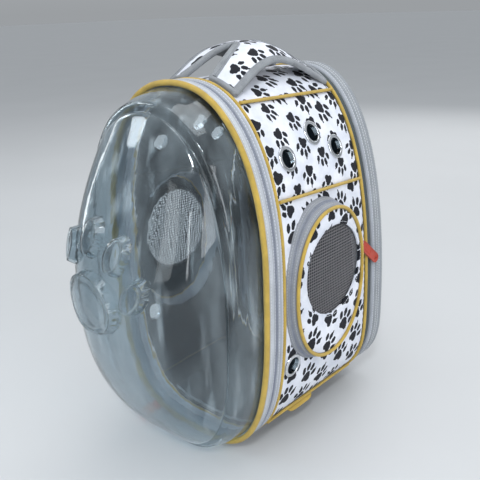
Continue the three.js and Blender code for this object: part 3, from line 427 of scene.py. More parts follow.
def paw_cloth(name, cell, turn, offset=(0, 0)):
    made, web, shader = material(name)
    position = cloth_position(web)
    moved = web.vector("ADD", position, (offset[0], offset[1], 0))
    group = web.node("ShaderNodeGroup")
    group.node_tree = PAW_GROUP
    web.put(group.inputs["Position"], moved)
    group.inputs["Cell"].default_value = cell
    group.inputs["Turn"].default_value = turn
    height = weave_height(web, position, 0.8)
    slow = web.noise(position, 0.035, 4.0, 0.6)
    ground = web.mix(
        web.ramp(slow, 0.3, 0.75), opaque(linear(205, 210, 222)), opaque(linear(240, 242, 249))
    )
    ink = web.mix(
        web.ramp(web.noise(position, 1.2, 3.0), 0.35, 0.8),
        opaque(linear(13, 14, 21)),
        opaque(linear(33, 35, 45))
    )
    tone = web.mix(group.outputs["Mask"], ground, ink)
    # Painted shade: the low points between the threads are darkened towards dark grey
    threads = web.mix(web.ramp(height, -0.6, 1.2, 0.1, 0.0), tone, opaque(linear(52, 56, 68)))
    finish_cloth(web, shader, threads, web.bump(height, 0.4, 0.0002), 0.82, 0.05, 0.2)
    return made


def webbing(name, colour, pitch=1.6, rough=0.75):
    """Ribbed tape: ribs across its length, with a chevron of fine threads."""
    made, web, shader = material(name)
    position = cloth_position(web)
    parts = web.node("ShaderNodeSeparateXYZ")
    web.put(parts.inputs[0], position)
    rib = web.math("SINE", web.math("MULTIPLY", parts.outputs[1], 2 * math.pi / pitch))
    slant = web.math("PINGPONG", parts.outputs[1], pitch * 2)
    thread = web.math(
        "SINE", web.math("MULTIPLY", web.math("ADD", parts.outputs[0], slant), 2 * math.pi / 1.1)
    )
    height = web.math("ADD", web.math("MULTIPLY", rib, 0.6), web.math("MULTIPLY", thread, 0.5))
    slow = web.noise(position, 0.04, 4.0, 0.6)
    tone = web.mix(web.ramp(slow, 0.3, 0.7), opaque(colour, 0.84), opaque(colour, 1.06))
    shaded = web.mix(web.ramp(height, -1.1, 0.4, 0.35, 0.0), tone, opaque(colour, 0.4))
    finish_cloth(web, shader, shaded, web.bump(height, 0.6, 0.0003), rough, 0.15)
    return made


def air_mesh(name, colour, pitch=3.0):
    """Thick knitted mesh: soft dimples side by side over a woven ground."""
    made, web, shader = material(name)
    position = cloth_position(web)
    dimples = web.node("ShaderNodeTexVoronoi")
    web.put(dimples.inputs["Vector"], position)
    dimples.inputs["Scale"].default_value = 1 / pitch
    dimples.inputs["Randomness"].default_value = 0.25
    rise = web.ramp(dimples.outputs["Distance"], 0.12, 0.42, 0.0, 1.0, smooth=True)
    fine = weave_height(web, position, 0.9)
    height = web.math("ADD", web.math("MULTIPLY", rise, 2.2), web.math("MULTIPLY", fine, 0.3))
    slow = web.noise(position, 0.04, 4.0, 0.6)
    tone = web.mix(web.ramp(slow, 0.3, 0.7), opaque(colour, 0.82), opaque(colour, 1.08))
    shaded = web.mix(rise, opaque(colour, 0.35), tone)
    finish_cloth(web, shader, shaded, web.bump(height, 0.7, 0.0005), 0.92, 0.2)
    return made


def moulded(name, colour, rough=0.4, grain=0.3, metal=0.0):
    """Moulded plastic or metal with a fine grain and a little handling wear."""
    made, web, shader = material(name)
    position = web.node("ShaderNodeTexCoord").outputs["Object"]
    grainy = web.noise(position, 2600.0, 2.0)
    worn = web.noise(position, 160.0, 4.0, 0.65)
    scuffed = opaque([part + 0.008 for part in colour], 1.25)
    tone = web.mix(web.ramp(worn, 0.4, 0.75), opaque(colour), scuffed)
    web.put(shader.inputs["Base Color"], tone)
    web.put(shader.inputs["Roughness"], web.ramp(worn, 0.3, 0.8, rough * 0.8, rough * 1.3))
    web.put(shader.inputs["Normal"], web.bump(grainy, grain, 0.00008))
    shader.inputs["Metallic"].default_value = metal
    return made


def clear_plastic(name):
    """Clear moulded sheet that lets lamps through, with faint scuffs and upright milky streaks: partly
    cloudiness of the sheet and partly painted reflection of bright streaks round it.
    """
    made, web, shader = material(name)
    position = web.node("ShaderNodeTexCoord").outputs["Object"]
    scuff = web.noise(position, 34.0, 5.0, 0.7)
    # Upright milky streaks: partly cloudiness of the sheet, partly painted reflection of bright streaks
    # round it
    streaks = web.noise(web.vector("MULTIPLY", position, (1.0, 1.0, 0.22)), 21.0, 5.0, 0.62)
    shader.inputs["Base Color"].default_value = opaque(linear(191, 203, 209))
    parts = web.node("ShaderNodeSeparateXYZ")
    web.put(parts.inputs[0], position)
    # Milkier towards the bottom: partly cloudiness, partly painted reflection of pale light low on the
    # bubble
    low_down = web.ramp(parts.outputs[2], 0.02, 0.24, 0.09, 0.0)
    milky_and_painted_reflection = web.math("ADD", streaks, low_down)
    # Longer upright milky streaks: partly cloudiness of the sheet, partly painted reflection
    long_streak_noise = web.noise(web.vector("MULTIPLY", position, (1.0, 1.0, 0.12)), 62.0, 3.0, 0.55)
    cloudy_and_painted_reflection_streaks = web.ramp(long_streak_noise, 0.55, 0.72, 0.0, 0.24, smooth=True)
    web.put(
        shader.inputs["Transmission Weight"],
        web.math("SUBTRACT", web.ramp(milky_and_painted_reflection, 0.44, 0.74, 0.99, 0.84), cloudy_and_painted_reflection_streaks)
    )
    shader.inputs["IOR"].default_value = 1.45
    web.put(shader.inputs["Roughness"], web.ramp(scuff, 0.45, 0.8, 0.03, 0.12))
    swell = web.noise(web.vector("MULTIPLY", position, (1.0, 1.0, 0.16)), 34.0, 3.0, 0.55)
    web.put(shader.inputs["Normal"], web.bump(swell, 0.35, 0.0012))
    through = web.node("ShaderNodeBsdfTransparent")
    through.inputs["Color"].default_value = (0.8, 0.85, 0.88, 1)
    path = web.node("ShaderNodeLightPath")
    blend = web.node("ShaderNodeMixShader")
    web.put(blend.inputs[0], path.outputs["Is Shadow Ray"])
    web.put(blend.inputs[1], shader.outputs[0])
    web.put(blend.inputs[2], through.outputs[0])
    output = next(n for n in web.tree.nodes if n.type == "OUTPUT_MATERIAL")
    web.put(output.inputs["Surface"], blend.outputs[0])
    return made


YELLOW = cloth("piping_yellow", linear(204, 172, 80), pitch=0.9, strength=0.8, rough=0.7, vary=0.11)
TAPE_LIGHT = webbing("tape_light_grey", linear(192, 197, 204), pitch=1.5)
TAPE_MIDDLE = webbing("tape_middle_grey", linear(168, 173, 182), pitch=1.5)
TAPE_WINDOW = webbing("tape_window_grey", linear(146, 150, 157), pitch=1.5)
TAPE_REAR = webbing("tape_rear_grey", linear(152, 157, 162), pitch=1.5)
# Dark green-grey of the rear groove tape: partly the tape's own colour, partly painted shade of the
# recessed groove
GROOVE_TAPE_SHADED = webbing("groove_tape_painted_shade", linear(64, 74, 77), pitch=1.8)
COIL = moulded("zip_coil", linear(134, 140, 155), rough=0.4, grain=0.1)
THREAD = cloth("thread_grey", linear(222, 225, 232), pitch=0.5)
THREAD_MIDDLE = cloth("thread_middle", linear(176, 180, 188), pitch=0.5)
THREAD_DARK = cloth("thread_dark", linear(120, 124, 132), pitch=0.5)
LINING = cloth("lining_slate", linear(43, 53, 61), pitch=1.0, rough=0.9)
BINDING = cloth(
    "binding_grey", linear(152, 157, 163), pitch=1.3, strength=1.0, rough=0.95, sheen=0.3, vary=0.16
)
STRAP_GREY = cloth("strap_grey", linear(116, 121, 128), pitch=1.4, strength=0.8)
STRAP_WEB = webbing("strap_webbing_grey", linear(104, 109, 116), pitch=2.2)
AIR_MESH = air_mesh("back_air_mesh", linear(128, 134, 141))
NET = cloth("window_net", linear(112, 110, 113), pitch=0.6, rough=0.8)
CHROME = moulded("eyelet_chrome", linear(205, 208, 212), rough=0.16, grain=0.03, metal=1.0)
RED = moulded("pull_red", linear(166, 56, 36), rough=0.45)
ORANGE = moulded("pull_orange", linear(240, 98, 16), rough=0.45)
BLACK_PLASTIC = moulded("plastic_dark_grey", linear(58, 61, 65), rough=0.5)
CLEAR = clear_plastic("bubble_clear")
LOWER_PAWS = paw_cloth("paws_lower", 32.0, 0.0)
UPPER_PAWS = paw_cloth("paws_upper", 30.0, math.pi, (9, 14))
TOP_PAWS = paw_cloth("paws_top", 31.0, 2.4, (3, 5))
DOOR_PAWS = paw_cloth("paws_door", 31.0, 0.3, (12, 8))
HANDLE_PAWS = paw_cloth("paws_handle", 31.0, 1.2, (6, 0))


# Meshes


def add_object(name, data):
    obj = bpy.data.objects.new(name, data)
    bpy.context.scene.collection.objects.link(obj)
    return obj


def smooth_faces(mesh):
    mesh.polygons.foreach_set("use_smooth", np.ones(len(mesh.polygons), dtype=bool))


def turn_outwards(mesh, merge=0.0):
    """Joins points closer than merge, in metres, and turns all faces outwards."""
    work = bmesh.new()
    work.from_mesh(mesh)
    if merge:
        bmesh.ops.remove_doubles(work, verts=work.verts, dist=merge)
    bmesh.ops.recalc_face_normals(work, faces=work.faces)
    work.to_mesh(mesh)
    work.free()


def build(name, verts, faces, uvs, mats, mat_index=None, smooth=40, flip=True):
    """An object from points in millimetres, faces, and cloth positions for each corner."""
    mesh = bpy.data.meshes.new(name)
    mesh.from_pydata(place(verts).tolist(), [], [list(map(int, f)) for f in faces])
    layer = mesh.uv_layers.new(name="cloth")
    if uvs is not None:
        layer.data.foreach_set("uv", np.asarray(uvs, dtype=np.float32).ravel())
    for mat in mats:
        mesh.materials.append(mat)
    if mat_index is not None:
        mesh.polygons.foreach_set("material_index", np.asarray(mat_index, dtype=np.int32))
    smooth_faces(mesh)
    if flip:
        turn_outwards(mesh)
    if smooth < 180:
        mesh.set_sharp_from_angle(angle=math.radians(smooth))
    return add_object(name, mesh)


def finish_piece(obj, slot, *nodes, body_name=MAIN_BODY):
    """Says which body a piece moves with and which CAD nodes it stands for; the slot is not used."""
    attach(obj, body_name)
    if nodes:
        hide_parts(*nodes)
    return obj


def ring_surface(points, uv, wrap_u=True, wrap_v=True):
    """Faces and corner positions of a grid that may be closed. uv has one more row where it is wrapped."""
    nu, nv = points.shape[:2]
    i = np.arange(nu if wrap_u else nu - 1)
    j = np.arange(nv if wrap_v else nv - 1)
    i, j = np.meshgrid(i, j, indexing="ij")
    i, j = i.ravel(), j.ravel()
    i2, j2 = (i + 1) % nu, (j + 1) % nv
    faces = np.stack([i * nv + j, i2 * nv + j, i2 * nv + j2, i * nv + j2], 1)
    corners = np.stack([uv[i, j], uv[i + 1, j], uv[i + 1, j + 1], uv[i, j + 1]], 1)
    return faces, corners.reshape(-1, 2)


def mirrored(points, side):
    """The points for the right side, or their mirror image for the left."""
    made = np.array(points, dtype=float)
    made[..., 0] *= side
    return made


def lengths(points, closed=True):
    """Running length along the first axis, with one entry more if closed."""
    run = np.concatenate([points, points[:1]]) if closed else points
    step = np.linalg.norm(np.diff(run, axis=0), axis=-1)
    return np.concatenate([[0], np.cumsum(step)])


def loop_uv(points, closed_u=True, closed_v=True):
    along = lengths(points[:, 0], closed_u)
    across = lengths(points[0], closed_v)
    return np.stack(np.meshgrid(along, across, indexing="ij"), -1)


def closed_tube(name, points, mats, mat_of=None, smooth=60):
    """A body from rings that join up at both ends, such as a hoop."""
    uv = loop_uv(points)
    faces, corners = ring_surface(points, uv)
    index = None if mat_of is None else mat_of(faces, points.reshape(-1, 3))
    return build(name, points.reshape(-1, 3), faces, corners, mats, index, smooth)


def open_tube(name, points, mats, smooth=60):
    """A body from rings, closed at its ends by fans."""
    nu, nv = points.shape[:2]
    uv = loop_uv(points, closed_u=False)
    faces, corners = ring_surface(points, uv, wrap_u=False)
    faces = [list(f) for f in faces]
    corners = list(corners)
    verts = list(points.reshape(-1, 3))
    for k in (0, nu - 1):
        centre = len(verts)
        verts.append(points[k].mean(0))
        for j in range(nv):
            faces.append([k * nv + j, k * nv + (j + 1) % nv, centre])
            corners += [uv[k, j], uv[k, j + 1], uv[k, 0]]
    return build(name, np.array(verts), faces, corners, mats, None, smooth)


def slab(name, outer, inner, uv, mats, keep=None, wrap=False, smooth=60):
    """A plate between two grids, with walls along its edges and round the cells left out.
    mats are for the outer face, the inner face and the edges."""
    nu, nv = outer.shape[:2]
    cells_u = nu if wrap else nu - 1
    keep = np.ones((cells_u, nv - 1), bool) if keep is None else keep
    total = nu * nv
    faces, corners, index = [], [], []

    def node(i, j):
        return (i % nu) * nv + j

    for i in range(cells_u):
        for j in range(nv - 1):
            if not keep[i, j]:
                continue
            quad = [node(i, j), node(i + 1, j), node(i + 1, j + 1), node(i, j + 1)]
            spots = [uv[i, j], uv[i + 1, j], uv[i + 1, j + 1], uv[i, j + 1]]
            faces.append(quad)
            corners += spots
            index.append(0)
            faces.append([total + q for q in reversed(quad)])
            corners += list(reversed(spots))
            index.append(1)
            sides = (
                (0, 1, j > 0 and keep[i, j - 1]),
                (2, 3, j < nv - 2 and keep[i, j + 1]),
                (3, 0, (wrap or i > 0) and keep[i - 1, j]),
                (1, 2, (wrap or i < cells_u - 1) and keep[(i + 1) % cells_u, j]),
            )
            for a, b, joined in sides:
                if not joined:
                    faces.append([quad[b], quad[a], total + quad[a], total + quad[b]])
                    corners += [spots[b], spots[a], spots[a] + 1.5, spots[b] + 1.5]
                    index.append(2)
    verts = np.concatenate([outer.reshape(-1, 3), inner.reshape(-1, 3)])
    used = np.unique(np.concatenate([np.asarray(f) for f in faces]))
    renumber = -np.ones(len(verts), int)
    renumber[used] = np.arange(len(used))
    faces = [[renumber[v] for v in f] for f in faces]
    return build(name, verts[used], faces, corners, mats, index, smooth)


# A small pill, used for zip teeth and stitches: rings along it
PILL_RINGS = ((-0.5, 0.42), (-0.28, 1.0), (0.28, 1.0), (0.5, 0.42))


def pills(name, centres, along, normals, size, mat, sides=4):
    """Many small rounded bars: size is length, width and height."""
    along, normals = unit(along), unit(normals)
    across = np.cross(normals, along)
    angle = 2 * math.pi * (np.arange(sides) + 0.5) / sides
    shape = np.array(
        [
            [x * size[0], r * math.cos(a) * size[1] / 2, r * math.sin(a) * size[2] / 2]
            for x, r in PILL_RINGS
            for a in angle
        ]
    )
    points = (
        centres[:, None] + shape[None, :, :1] * along[:, None]
        + shape[None, :, 1:2] * across[:, None] + shape[None, :, 2:] * normals[:, None]
    )
    one = []
    for k in range(len(PILL_RINGS) - 1):
        for j in range(sides):
            j2 = (j + 1) % sides
            one.append([k * sides + j, k * sides + j2, (k + 1) * sides + j2, (k + 1) * sides + j])
    last = (len(PILL_RINGS) - 1) * sides
    caps = [list(range(sides))[::-1], [last + j for j in range(sides)]]
    count = len(shape)
    faces = [[v + n * count for v in f] for n in range(len(centres)) for f in one + caps]
    uvs = [(0.0, 0.0)] * sum(len(f) for f in faces)
    return build(name, points.reshape(-1, 3), faces, uvs, [mat], None, 180)


# Half the length in millimetres over which a path's direction is taken
HALF_STEP = 0.4


def spaced(path, pitch, closed=True):
    """Even places along a path: points, directions and the share of the whole length."""
    run = lengths(path, closed)
    total = run[-1]
    count = max(int(round(total / pitch)), 2)
    want = (np.arange(count) + 0.5) * total / count
    full = np.concatenate([path, path[:1]]) if closed else path
    further, nearer = want + HALF_STEP, want - HALF_STEP
    if closed:
        further, nearer = further % total, nearer % total
    else:
        further, nearer = np.minimum(further, total), np.maximum(nearer, 0)
    along = at_places(further, run, full) - at_places(nearer, run, full)
    return at_places(want, run, full), along, want / total


def hoop_places(y, out, pitch):
    """Even places round the body at a depth, with directions and normals."""
    turns = np.linspace(0, 1, 1200, endpoint=False)
    path = body(y, turns, out)
    points, along, _ = spaced(path, pitch)
    centre = np.array([0, y, 210.0])
    normals = points - centre
    side = np.cross(along, BACKWARDS)
    side *= np.sign((side * normals).sum(-1, keepdims=True))
    return points, along, side


# Length, width and height of single stitches and zip teeth, and how far apart they are
HOOP_STITCH, DOOR_STITCH, TAPE_STITCH = (2.5, 0.62, 0.5), (2.3, 0.6, 0.5), (2.4, 0.6, 0.5)
BINDING_STITCH, STRAP_STITCH = (2.2, 0.6, 0.5), (2.6, 0.7, 0.6)
FRONT_TOOTH, WINDOW_TOOTH, TOOTH_SIDES = (2.3, 0.95, 1.0), (2.0, 0.95, 0.95), 5
STITCH_PITCH, TOOTH_PITCH = 3.4, 1.7


def hoop_stitches(name, rows, mat, pitch=STITCH_PITCH, slot="grey_tape"):
    """Rows of stitches round the body: each row a depth and a height above the outline."""
    found = [hoop_places(y, out, pitch) for y, out in rows]
    return finish_piece(pills(name, *columns(found), HOOP_STITCH, mat), slot)


def hoop_coil(name, y, out, slot="grey_tape", body_shift=1.05):
    """Two rows of zip teeth that lie across the run of the zip."""
    pieces = []
    for k, sign in enumerate((-1, 1)):
        points, along, normals = hoop_places(y + sign * body_shift, out, TOOTH_PITCH)
        if k:
            points = points + unit(along) * TOOTH_PITCH / 2
        pieces.append((points, np.broadcast_to(BACKWARDS, points.shape), normals))
    return finish_piece(pills(name, *columns(pieces), FRONT_TOOTH, COIL, TOOTH_SIDES), slot)


# Hoops round the body


def hoop(name, section, mats, segments=420, mat_of=None, uneven=0.0, seed=1):
    turns = np.arange(segments) / segments
    rows = []
    for y, out in section:
        extra = uneven * ripple(turns * 2 * HALF_ROUND, np.full(segments, y), seed) if uneven else 0
        rows.append(body(np.full(segments, y), turns, out + extra))
    return closed_tube(name, np.stack(rows, 1), mats, mat_of)


def round_section(y, out, radius, sides=14):
    return [(y + radius * math.cos(a), out + radius * math.sin(a)) for a in angles(sides)]


def filled(section, step=1.1):
    """The same outline with points no further apart than the step."""
    made = []
    for (y0, o0), (y1, o1) in zip(section, section[1:] + section[:1]):
        count = max(int(math.hypot(y1 - y0, o1 - o0) / step), 1)
        made += [(y0 + (y1 - y0) * k / count, o0 + (o1 - o0) * k / count) for k in range(count)]
    return made


for label, y, out, radius in (
    ("front_piping", 0.0, 0.0, 3.1),
    ("front_thin_piping", FRONT_THIN_Y, 0.2, 2.0),
    ("rear_thin_piping", REAR_THIN_Y, 0.2, 2.0),
):
    finish_piece(
        hoop(label + "_cord", round_section(y, out, radius), [YELLOW], 520, uneven=0.18, seed=3),
        "yellow_piping",
        label
    )

ZIP_Y = (BAND_FRONT + BAND_REAR) / 2
zip_section = filled([
    (3.9, -2.6), (3.9, 0.3), (4.5, 1.0), (6.0, 1.5), (8.2, 1.75), (10.6, 1.7), (12.2, 1.45), (12.8, 0.9),
    (13.0, 0.1),
    (17.4, 0.1), (17.6, 0.9), (18.2, 1.45), (19.8, 1.7), (22.4, 1.75), (24.6, 1.45), (26.0, 0.9),
    (26.5, 0.2), (26.5, -2.6),
])


def zip_band_colour(faces, points):
    """The tape is lighter at its two edges than beside the teeth."""
    y = points[faces].mean(1)[:, 1]
    return np.where((y < 9.2) | (y > 22.6), 0, 1)


finish_piece(
    hoop("front_zip_tape", zip_section, [TAPE_LIGHT, TAPE_MIDDLE], 420, zip_band_colour, 0.12, 5),
    "grey_tape",
    "front_zip_band"
)
hoop_coil("front_zip_teeth", ZIP_Y, 0.55)
hoop_stitches("front_zip_stitches", [(5.6, 1.5), (11.6, 1.72), (18.8, 1.65), (25.0, 1.42)], THREAD)

groove_section = filled(
    [(197.5, -4), (197.5, -2.2), (201.2, -1.7), (203.9, -2.2), (206.6, -1.6), (210.0, -2.2), (210.0, -4)]
)
# The groove tape's dark colour is partly painted shade of the recessed groove
finish_piece(
    hoop("rear_groove_tape", groove_section, [GROOVE_TAPE_SHADED], 420, None, 0.1, 6),
    "dark_tape",
    "rear_groove_band"
)

rim_section = filled([
    (210.3, -6.8), (210.3, -1.0), (210.9, 0.1), (212.6, 0.8), (214.6, 0.6), (215.8, -0.5), (216.6, -0.9),
    (217.4, -0.4),
    (218.8, 0.8), (221.6, 1.1), (224.6, 1.1), (226.8, 0.7), (227.6, 0.2), (228.4, 0.7), (230.8, 0.9),
    (233.6, 0.2),
    (235.4, -1.6), (236.0, -3.4), (236.0, -6.8),
])


def rim_colour(faces, points):
    y = points[faces].mean(1)[:, 1]
    return np.where(y < 216.6, 1, 0)


finish_piece(
    hoop("rear_rim_tape", rim_section, [TAPE_REAR, TAPE_MIDDLE], 390, rim_colour, 0.12, 8),
    "grey_tape",
    "rear_rim_band"
)
hoop_stitches("rear_rim_stitches", [(213.6, 0.85), (220.0, 1.2), (225.2, 1.15)], THREAD)


def ribs(name, y, out, pitch, size, mat, slot):
    """Short ribs side by side round the body, as on a zip's edge or a ribbed cord."""
    points, along, normals = hoop_places(y, out, pitch)
    return finish_piece(
        pills(name, points, np.broadcast_to(BACKWARDS, points.shape), normals, size, mat), slot
    )


ribs("rear_rim_ribs", 231.4, 0.75, 1.9, (4.6, 1.5, 0.9), TAPE_REAR, "grey_tape")
ribs("rear_rim_fold_ribs", 227.6, 0.1, 1.7, (1.9, 1.0, 1.0), COIL, "grey_tape")


# Fabric walls

EYELET_NAMES = ("eyelet_low", "eyelet_front", "eyelet_middle", "eyelet_rear")
# Radius of the holes that are cut in the cloth for the eyelets
CUT_RADIUS = 11.5


def eyelet_frame(name):
    """Middle of an eyelet and the direction the wall faces there, found from its CAD node's middle."""
    low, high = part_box(name + "_right")
    middle = own_place((np.array(low) + np.array(high)) / 2)
    y = middle[1]
    shares = np.linspace(0.25, 0.9, 4001)
    on_wall = body(np.full(4001, y), shares / 2)
    share = shares[np.argmin(np.linalg.norm(on_wall - middle, axis=1))]
    point = body(y, share / 2)
    along = body(y + 6, share / 2) - body(y - 6, share / 2)
    around = body(y, share / 2 + 0.004) - body(y, share / 2 - 0.004)
    normal = unit(np.cross(along, around))
    if normal @ (point - np.array([0, y, 200.0])) < 0:
        normal = -normal
    return point, normal


EYELETS = {name: eyelet_frame(name) for name in EYELET_NAMES}


def open_holes(points, holes, window):
    """Moves points near a hole's edge on to it and says which points lie inside a hole."""
    moved = points.copy()
    inside = np.zeros(points.shape[:2], bool)
    for point, normal in holes:
        shift = moved - point
        flat = shift - (shift @ normal)[..., None] * normal
        distance = np.linalg.norm(flat, axis=-1)
        near = (np.abs(distance - CUT_RADIUS) < 1.0) & (np.abs(shift @ normal) < 12)
        pull = CUT_RADIUS / np.maximum(distance, 1e-6) - 1
        moved = np.where(near[..., None], moved + flat * pull[..., None], moved)
        inside |= (distance < CUT_RADIUS - 1.0) & (np.abs(shift @ normal) < 12)
    if window:
        grow = WINDOW_FLARE - 2.0
        dy, dz = moved[..., 1] - WINDOW_Y, moved[..., 2] - WINDOW_Z
        share_y, share_z = np.abs(dy) / (WINDOW_HALF_WIDTH + grow), np.abs(dz) / (WINDOW_HALF_HEIGHT + grow)
        level = share_y ** WINDOW_POWER + share_z ** WINDOW_POWER
        scale = np.maximum(level, 1e-9) ** (-1 / WINDOW_POWER)
        gap = np.hypot(dy, dz) * (scale - 1)
        near = (np.abs(gap) < 1.1) & (moved[..., 0] > 0)
        moved[..., 1] = np.where(near, WINDOW_Y + dy * scale, moved[..., 1])
        moved[..., 2] = np.where(near, WINDOW_Z + dz * scale, moved[..., 2])
        inside |= (level < 1) & ~near & (moved[..., 0] > 0)
    return moved, inside


# How far a wall's cloth turns in at its seams, and the small pleats beside them
EDGE_ROLL, PUCKER, PUCKER_PITCH = 1.3, 0.34, 8.5


def wall(name, first, last, step, mats, slot, node, side=1, holes=(), window=False, seed=1, slack=0.85):
    """Cloth between two seams. first and last give the turn at a depth."""
    rows = np.linspace(WALL_FRONT, WALL_REAR, int((WALL_REAR - WALL_FRONT) / step) + 1)
    start, end = first(rows), last(rows)
    columns = int(np.abs(end - start).max() * 2 * HALF_ROUND / step) + 1
    share = np.linspace(0, 1, columns + 1)[:, None]
    turn = start[None] + (end - start)[None] * share
    y = np.broadcast_to(rows[None], turn.shape)
    span = np.abs(end - start)[None] * 2 * HALF_ROUND
    to_edge = np.minimum(np.minimum(share, 1 - share) * span, np.minimum(y - WALL_FRONT, WALL_REAR - y))
    along = turn * 2 * HALF_ROUND
    rolled = -EDGE_ROLL * np.exp(-to_edge / 1.6)
    pucker = PUCKER * np.sin((along + y) * 2 * math.pi / PUCKER_PITCH) * np.exp(-to_edge / 7.0)
    drape = slack * ripple(along, y, seed) * np.clip(to_edge / 14, 0, 1)
    out = rolled + pucker + drape
    outer, inside = open_holes(body(y, turn, out), holes, window)
    inner, _ = open_holes(body(y, turn, np.maximum(out, -1.2) - 2.3), holes, window)
    keep = ~(inside[:-1, :-1] | inside[1:, :-1] | inside[:-1, 1:] | inside[1:, 1:])
    uv = np.stack([y, along], -1)
    outer, inner = mirrored(outer, side), mirrored(inner, side)
    return finish_piece(slab(name, outer, inner, uv, mats, keep), slot, node)


def turn_of(seam, shift=0.0):
    """A function that gives a seam's turn at a depth, moved along the outline by a shift in millimetres."""
    return lambda y: seam_share(seam, y) / 2 + shift / (2 * HALF_ROUND)


for side, label in SIDES:
    wall(f"lower_side_cloth_{label}", turn_of("base", 0.2), turn_of("middle", -0.2), 1.9,
         [LOWER_PAWS, LINING, LINING], "paw_cloth", f"lower_side_panel_{label}", side,
         holes=[EYELETS["eyelet_low"]], window=True, seed=11 + side)
    wall(f"upper_side_cloth_{label}", turn_of("middle", 0.2), turn_of("top", -0.2), 1.9,
         [UPPER_PAWS, LINING, LINING], "paw_cloth", f"upper_side_panel_{label}", side,
         holes=[EYELETS[name] for name in EYELET_NAMES[1:]], seed=17 + side, slack=0.9)
wall("top_cloth", turn_of("top", 0.2), lambda y: 1 - turn_of("top", 0.2)(y), 2.2,
     [TOP_PAWS, LINING, LINING], "paw_cloth", "top_panel", seed=23)
wall("base_cloth", lambda y: -turn_of("base", -0.2)(y), turn_of("base", -0.2), 3.0,
     [LINING, LINING, LINING], "grey_lining", "base_panel", seed=29, slack=0.3)

SEAM_CORD_RADIUS = 1.8
for seam in SEAMS:
    for side, label in SIDES:
        y = np.linspace(WALL_FRONT + 0.3, WALL_REAR - 0.3, 110)
        turn = seam_share(seam, y) / 2
        centre = body(y, turn, 2.0 + 0.12 * ripple(y, y, 31))
        normal = body_normal(y, turn)
        across = np.cross(normal, BACKWARDS)
        angle = angles(12)
        rings = sections(
            centre, normal, across, SEAM_CORD_RADIUS * np.cos(angle), SEAM_CORD_RADIUS * np.sin(angle)
        )
        obj = open_tube(f"{seam}_seam_cord_{label}", mirrored(rings, side), [YELLOW])
        finish_piece(obj, "yellow_piping", f"{seam}_seam_piping_{label}")


# Eyelets


def lathe(name, profile, origin, axis, mat, segments=48, closed=True):
    """A turned piece about an axis: profile rows are radius and height along the axis."""
    axis = unit(np.asarray(axis, float))
    start = unit(np.cross(axis, [0, 1.0, 0.13]))
    other = np.cross(axis, start)
    angle = angles(segments)
    spin = np.cos(angle)[:, None, None] * start + np.sin(angle)[:, None, None] * other
    profile = np.asarray(profile, float)
    rings = np.asarray(origin) + profile[None, :, :1] * spin + profile[None, :, 1:] * axis
    if closed:
        return closed_tube(name, rings, [mat], None, 35)
    turned = np.transpose(rings, (1, 0, 2))
    return open_tube(name, turned, [mat], 35)


def arc(centre, radius, start, end, count=7):
    angle = np.radians(np.linspace(start, end, count))
    return [(centre[0] + radius * math.cos(a), centre[1] + radius * math.sin(a)) for a in angle]


eyelet_profile = (
    arc((12.7, 0.9), 0.8, -90, 80) + arc((10.6, 1.2), 1.1, 95, 178)
    + [(9.6, 0.6), (9.7, -1.6)]
    + arc((10.3, -3.0), 0.6, 180, 270)
    + [(12.0, -3.6), (12.1, -3.0), (10.7, -2.8), (10.7, 0.2)]
)
for name, (point, normal) in EYELETS.items():
    for side, label in SIDES:
        centre, facing = mirrored(point, side), mirrored(normal, side)
        finish_piece(
            lathe(f"{name}_ring_{label}", eyelet_profile, centre, facing, CHROME),
            "eyelet_metal",
            f"{name}_{label}"
        )


# Windows

WINDOW_AROUND = 240
turns = np.arange(WINDOW_AROUND) / WINDOW_AROUND


def window_points(grow, x):
    y, z = oval(turns, grow)
    return np.stack([np.broadcast_to(x, y.shape), y, z], -1)


foot_y, foot_z = oval(turns, WINDOW_FLARE)
foot_x = wall_x(foot_y, foot_z)
TOP_X = WINDOW_FACE_X - 2.3
WINDOW_CORD_RADIUS = 1.95


def zip_wall_point(share, lift):
    """share 0 at the foot of the slanted wall and 1 at its top, lift outwards from it."""
    grow = WINDOW_FLARE + (1.6 - WINDOW_FLARE) * share + lift
    y, z = oval(turns, grow)
    return np.stack([foot_x - 0.4 + (TOP_X - foot_x + 0.4) * share, y, z], -1)


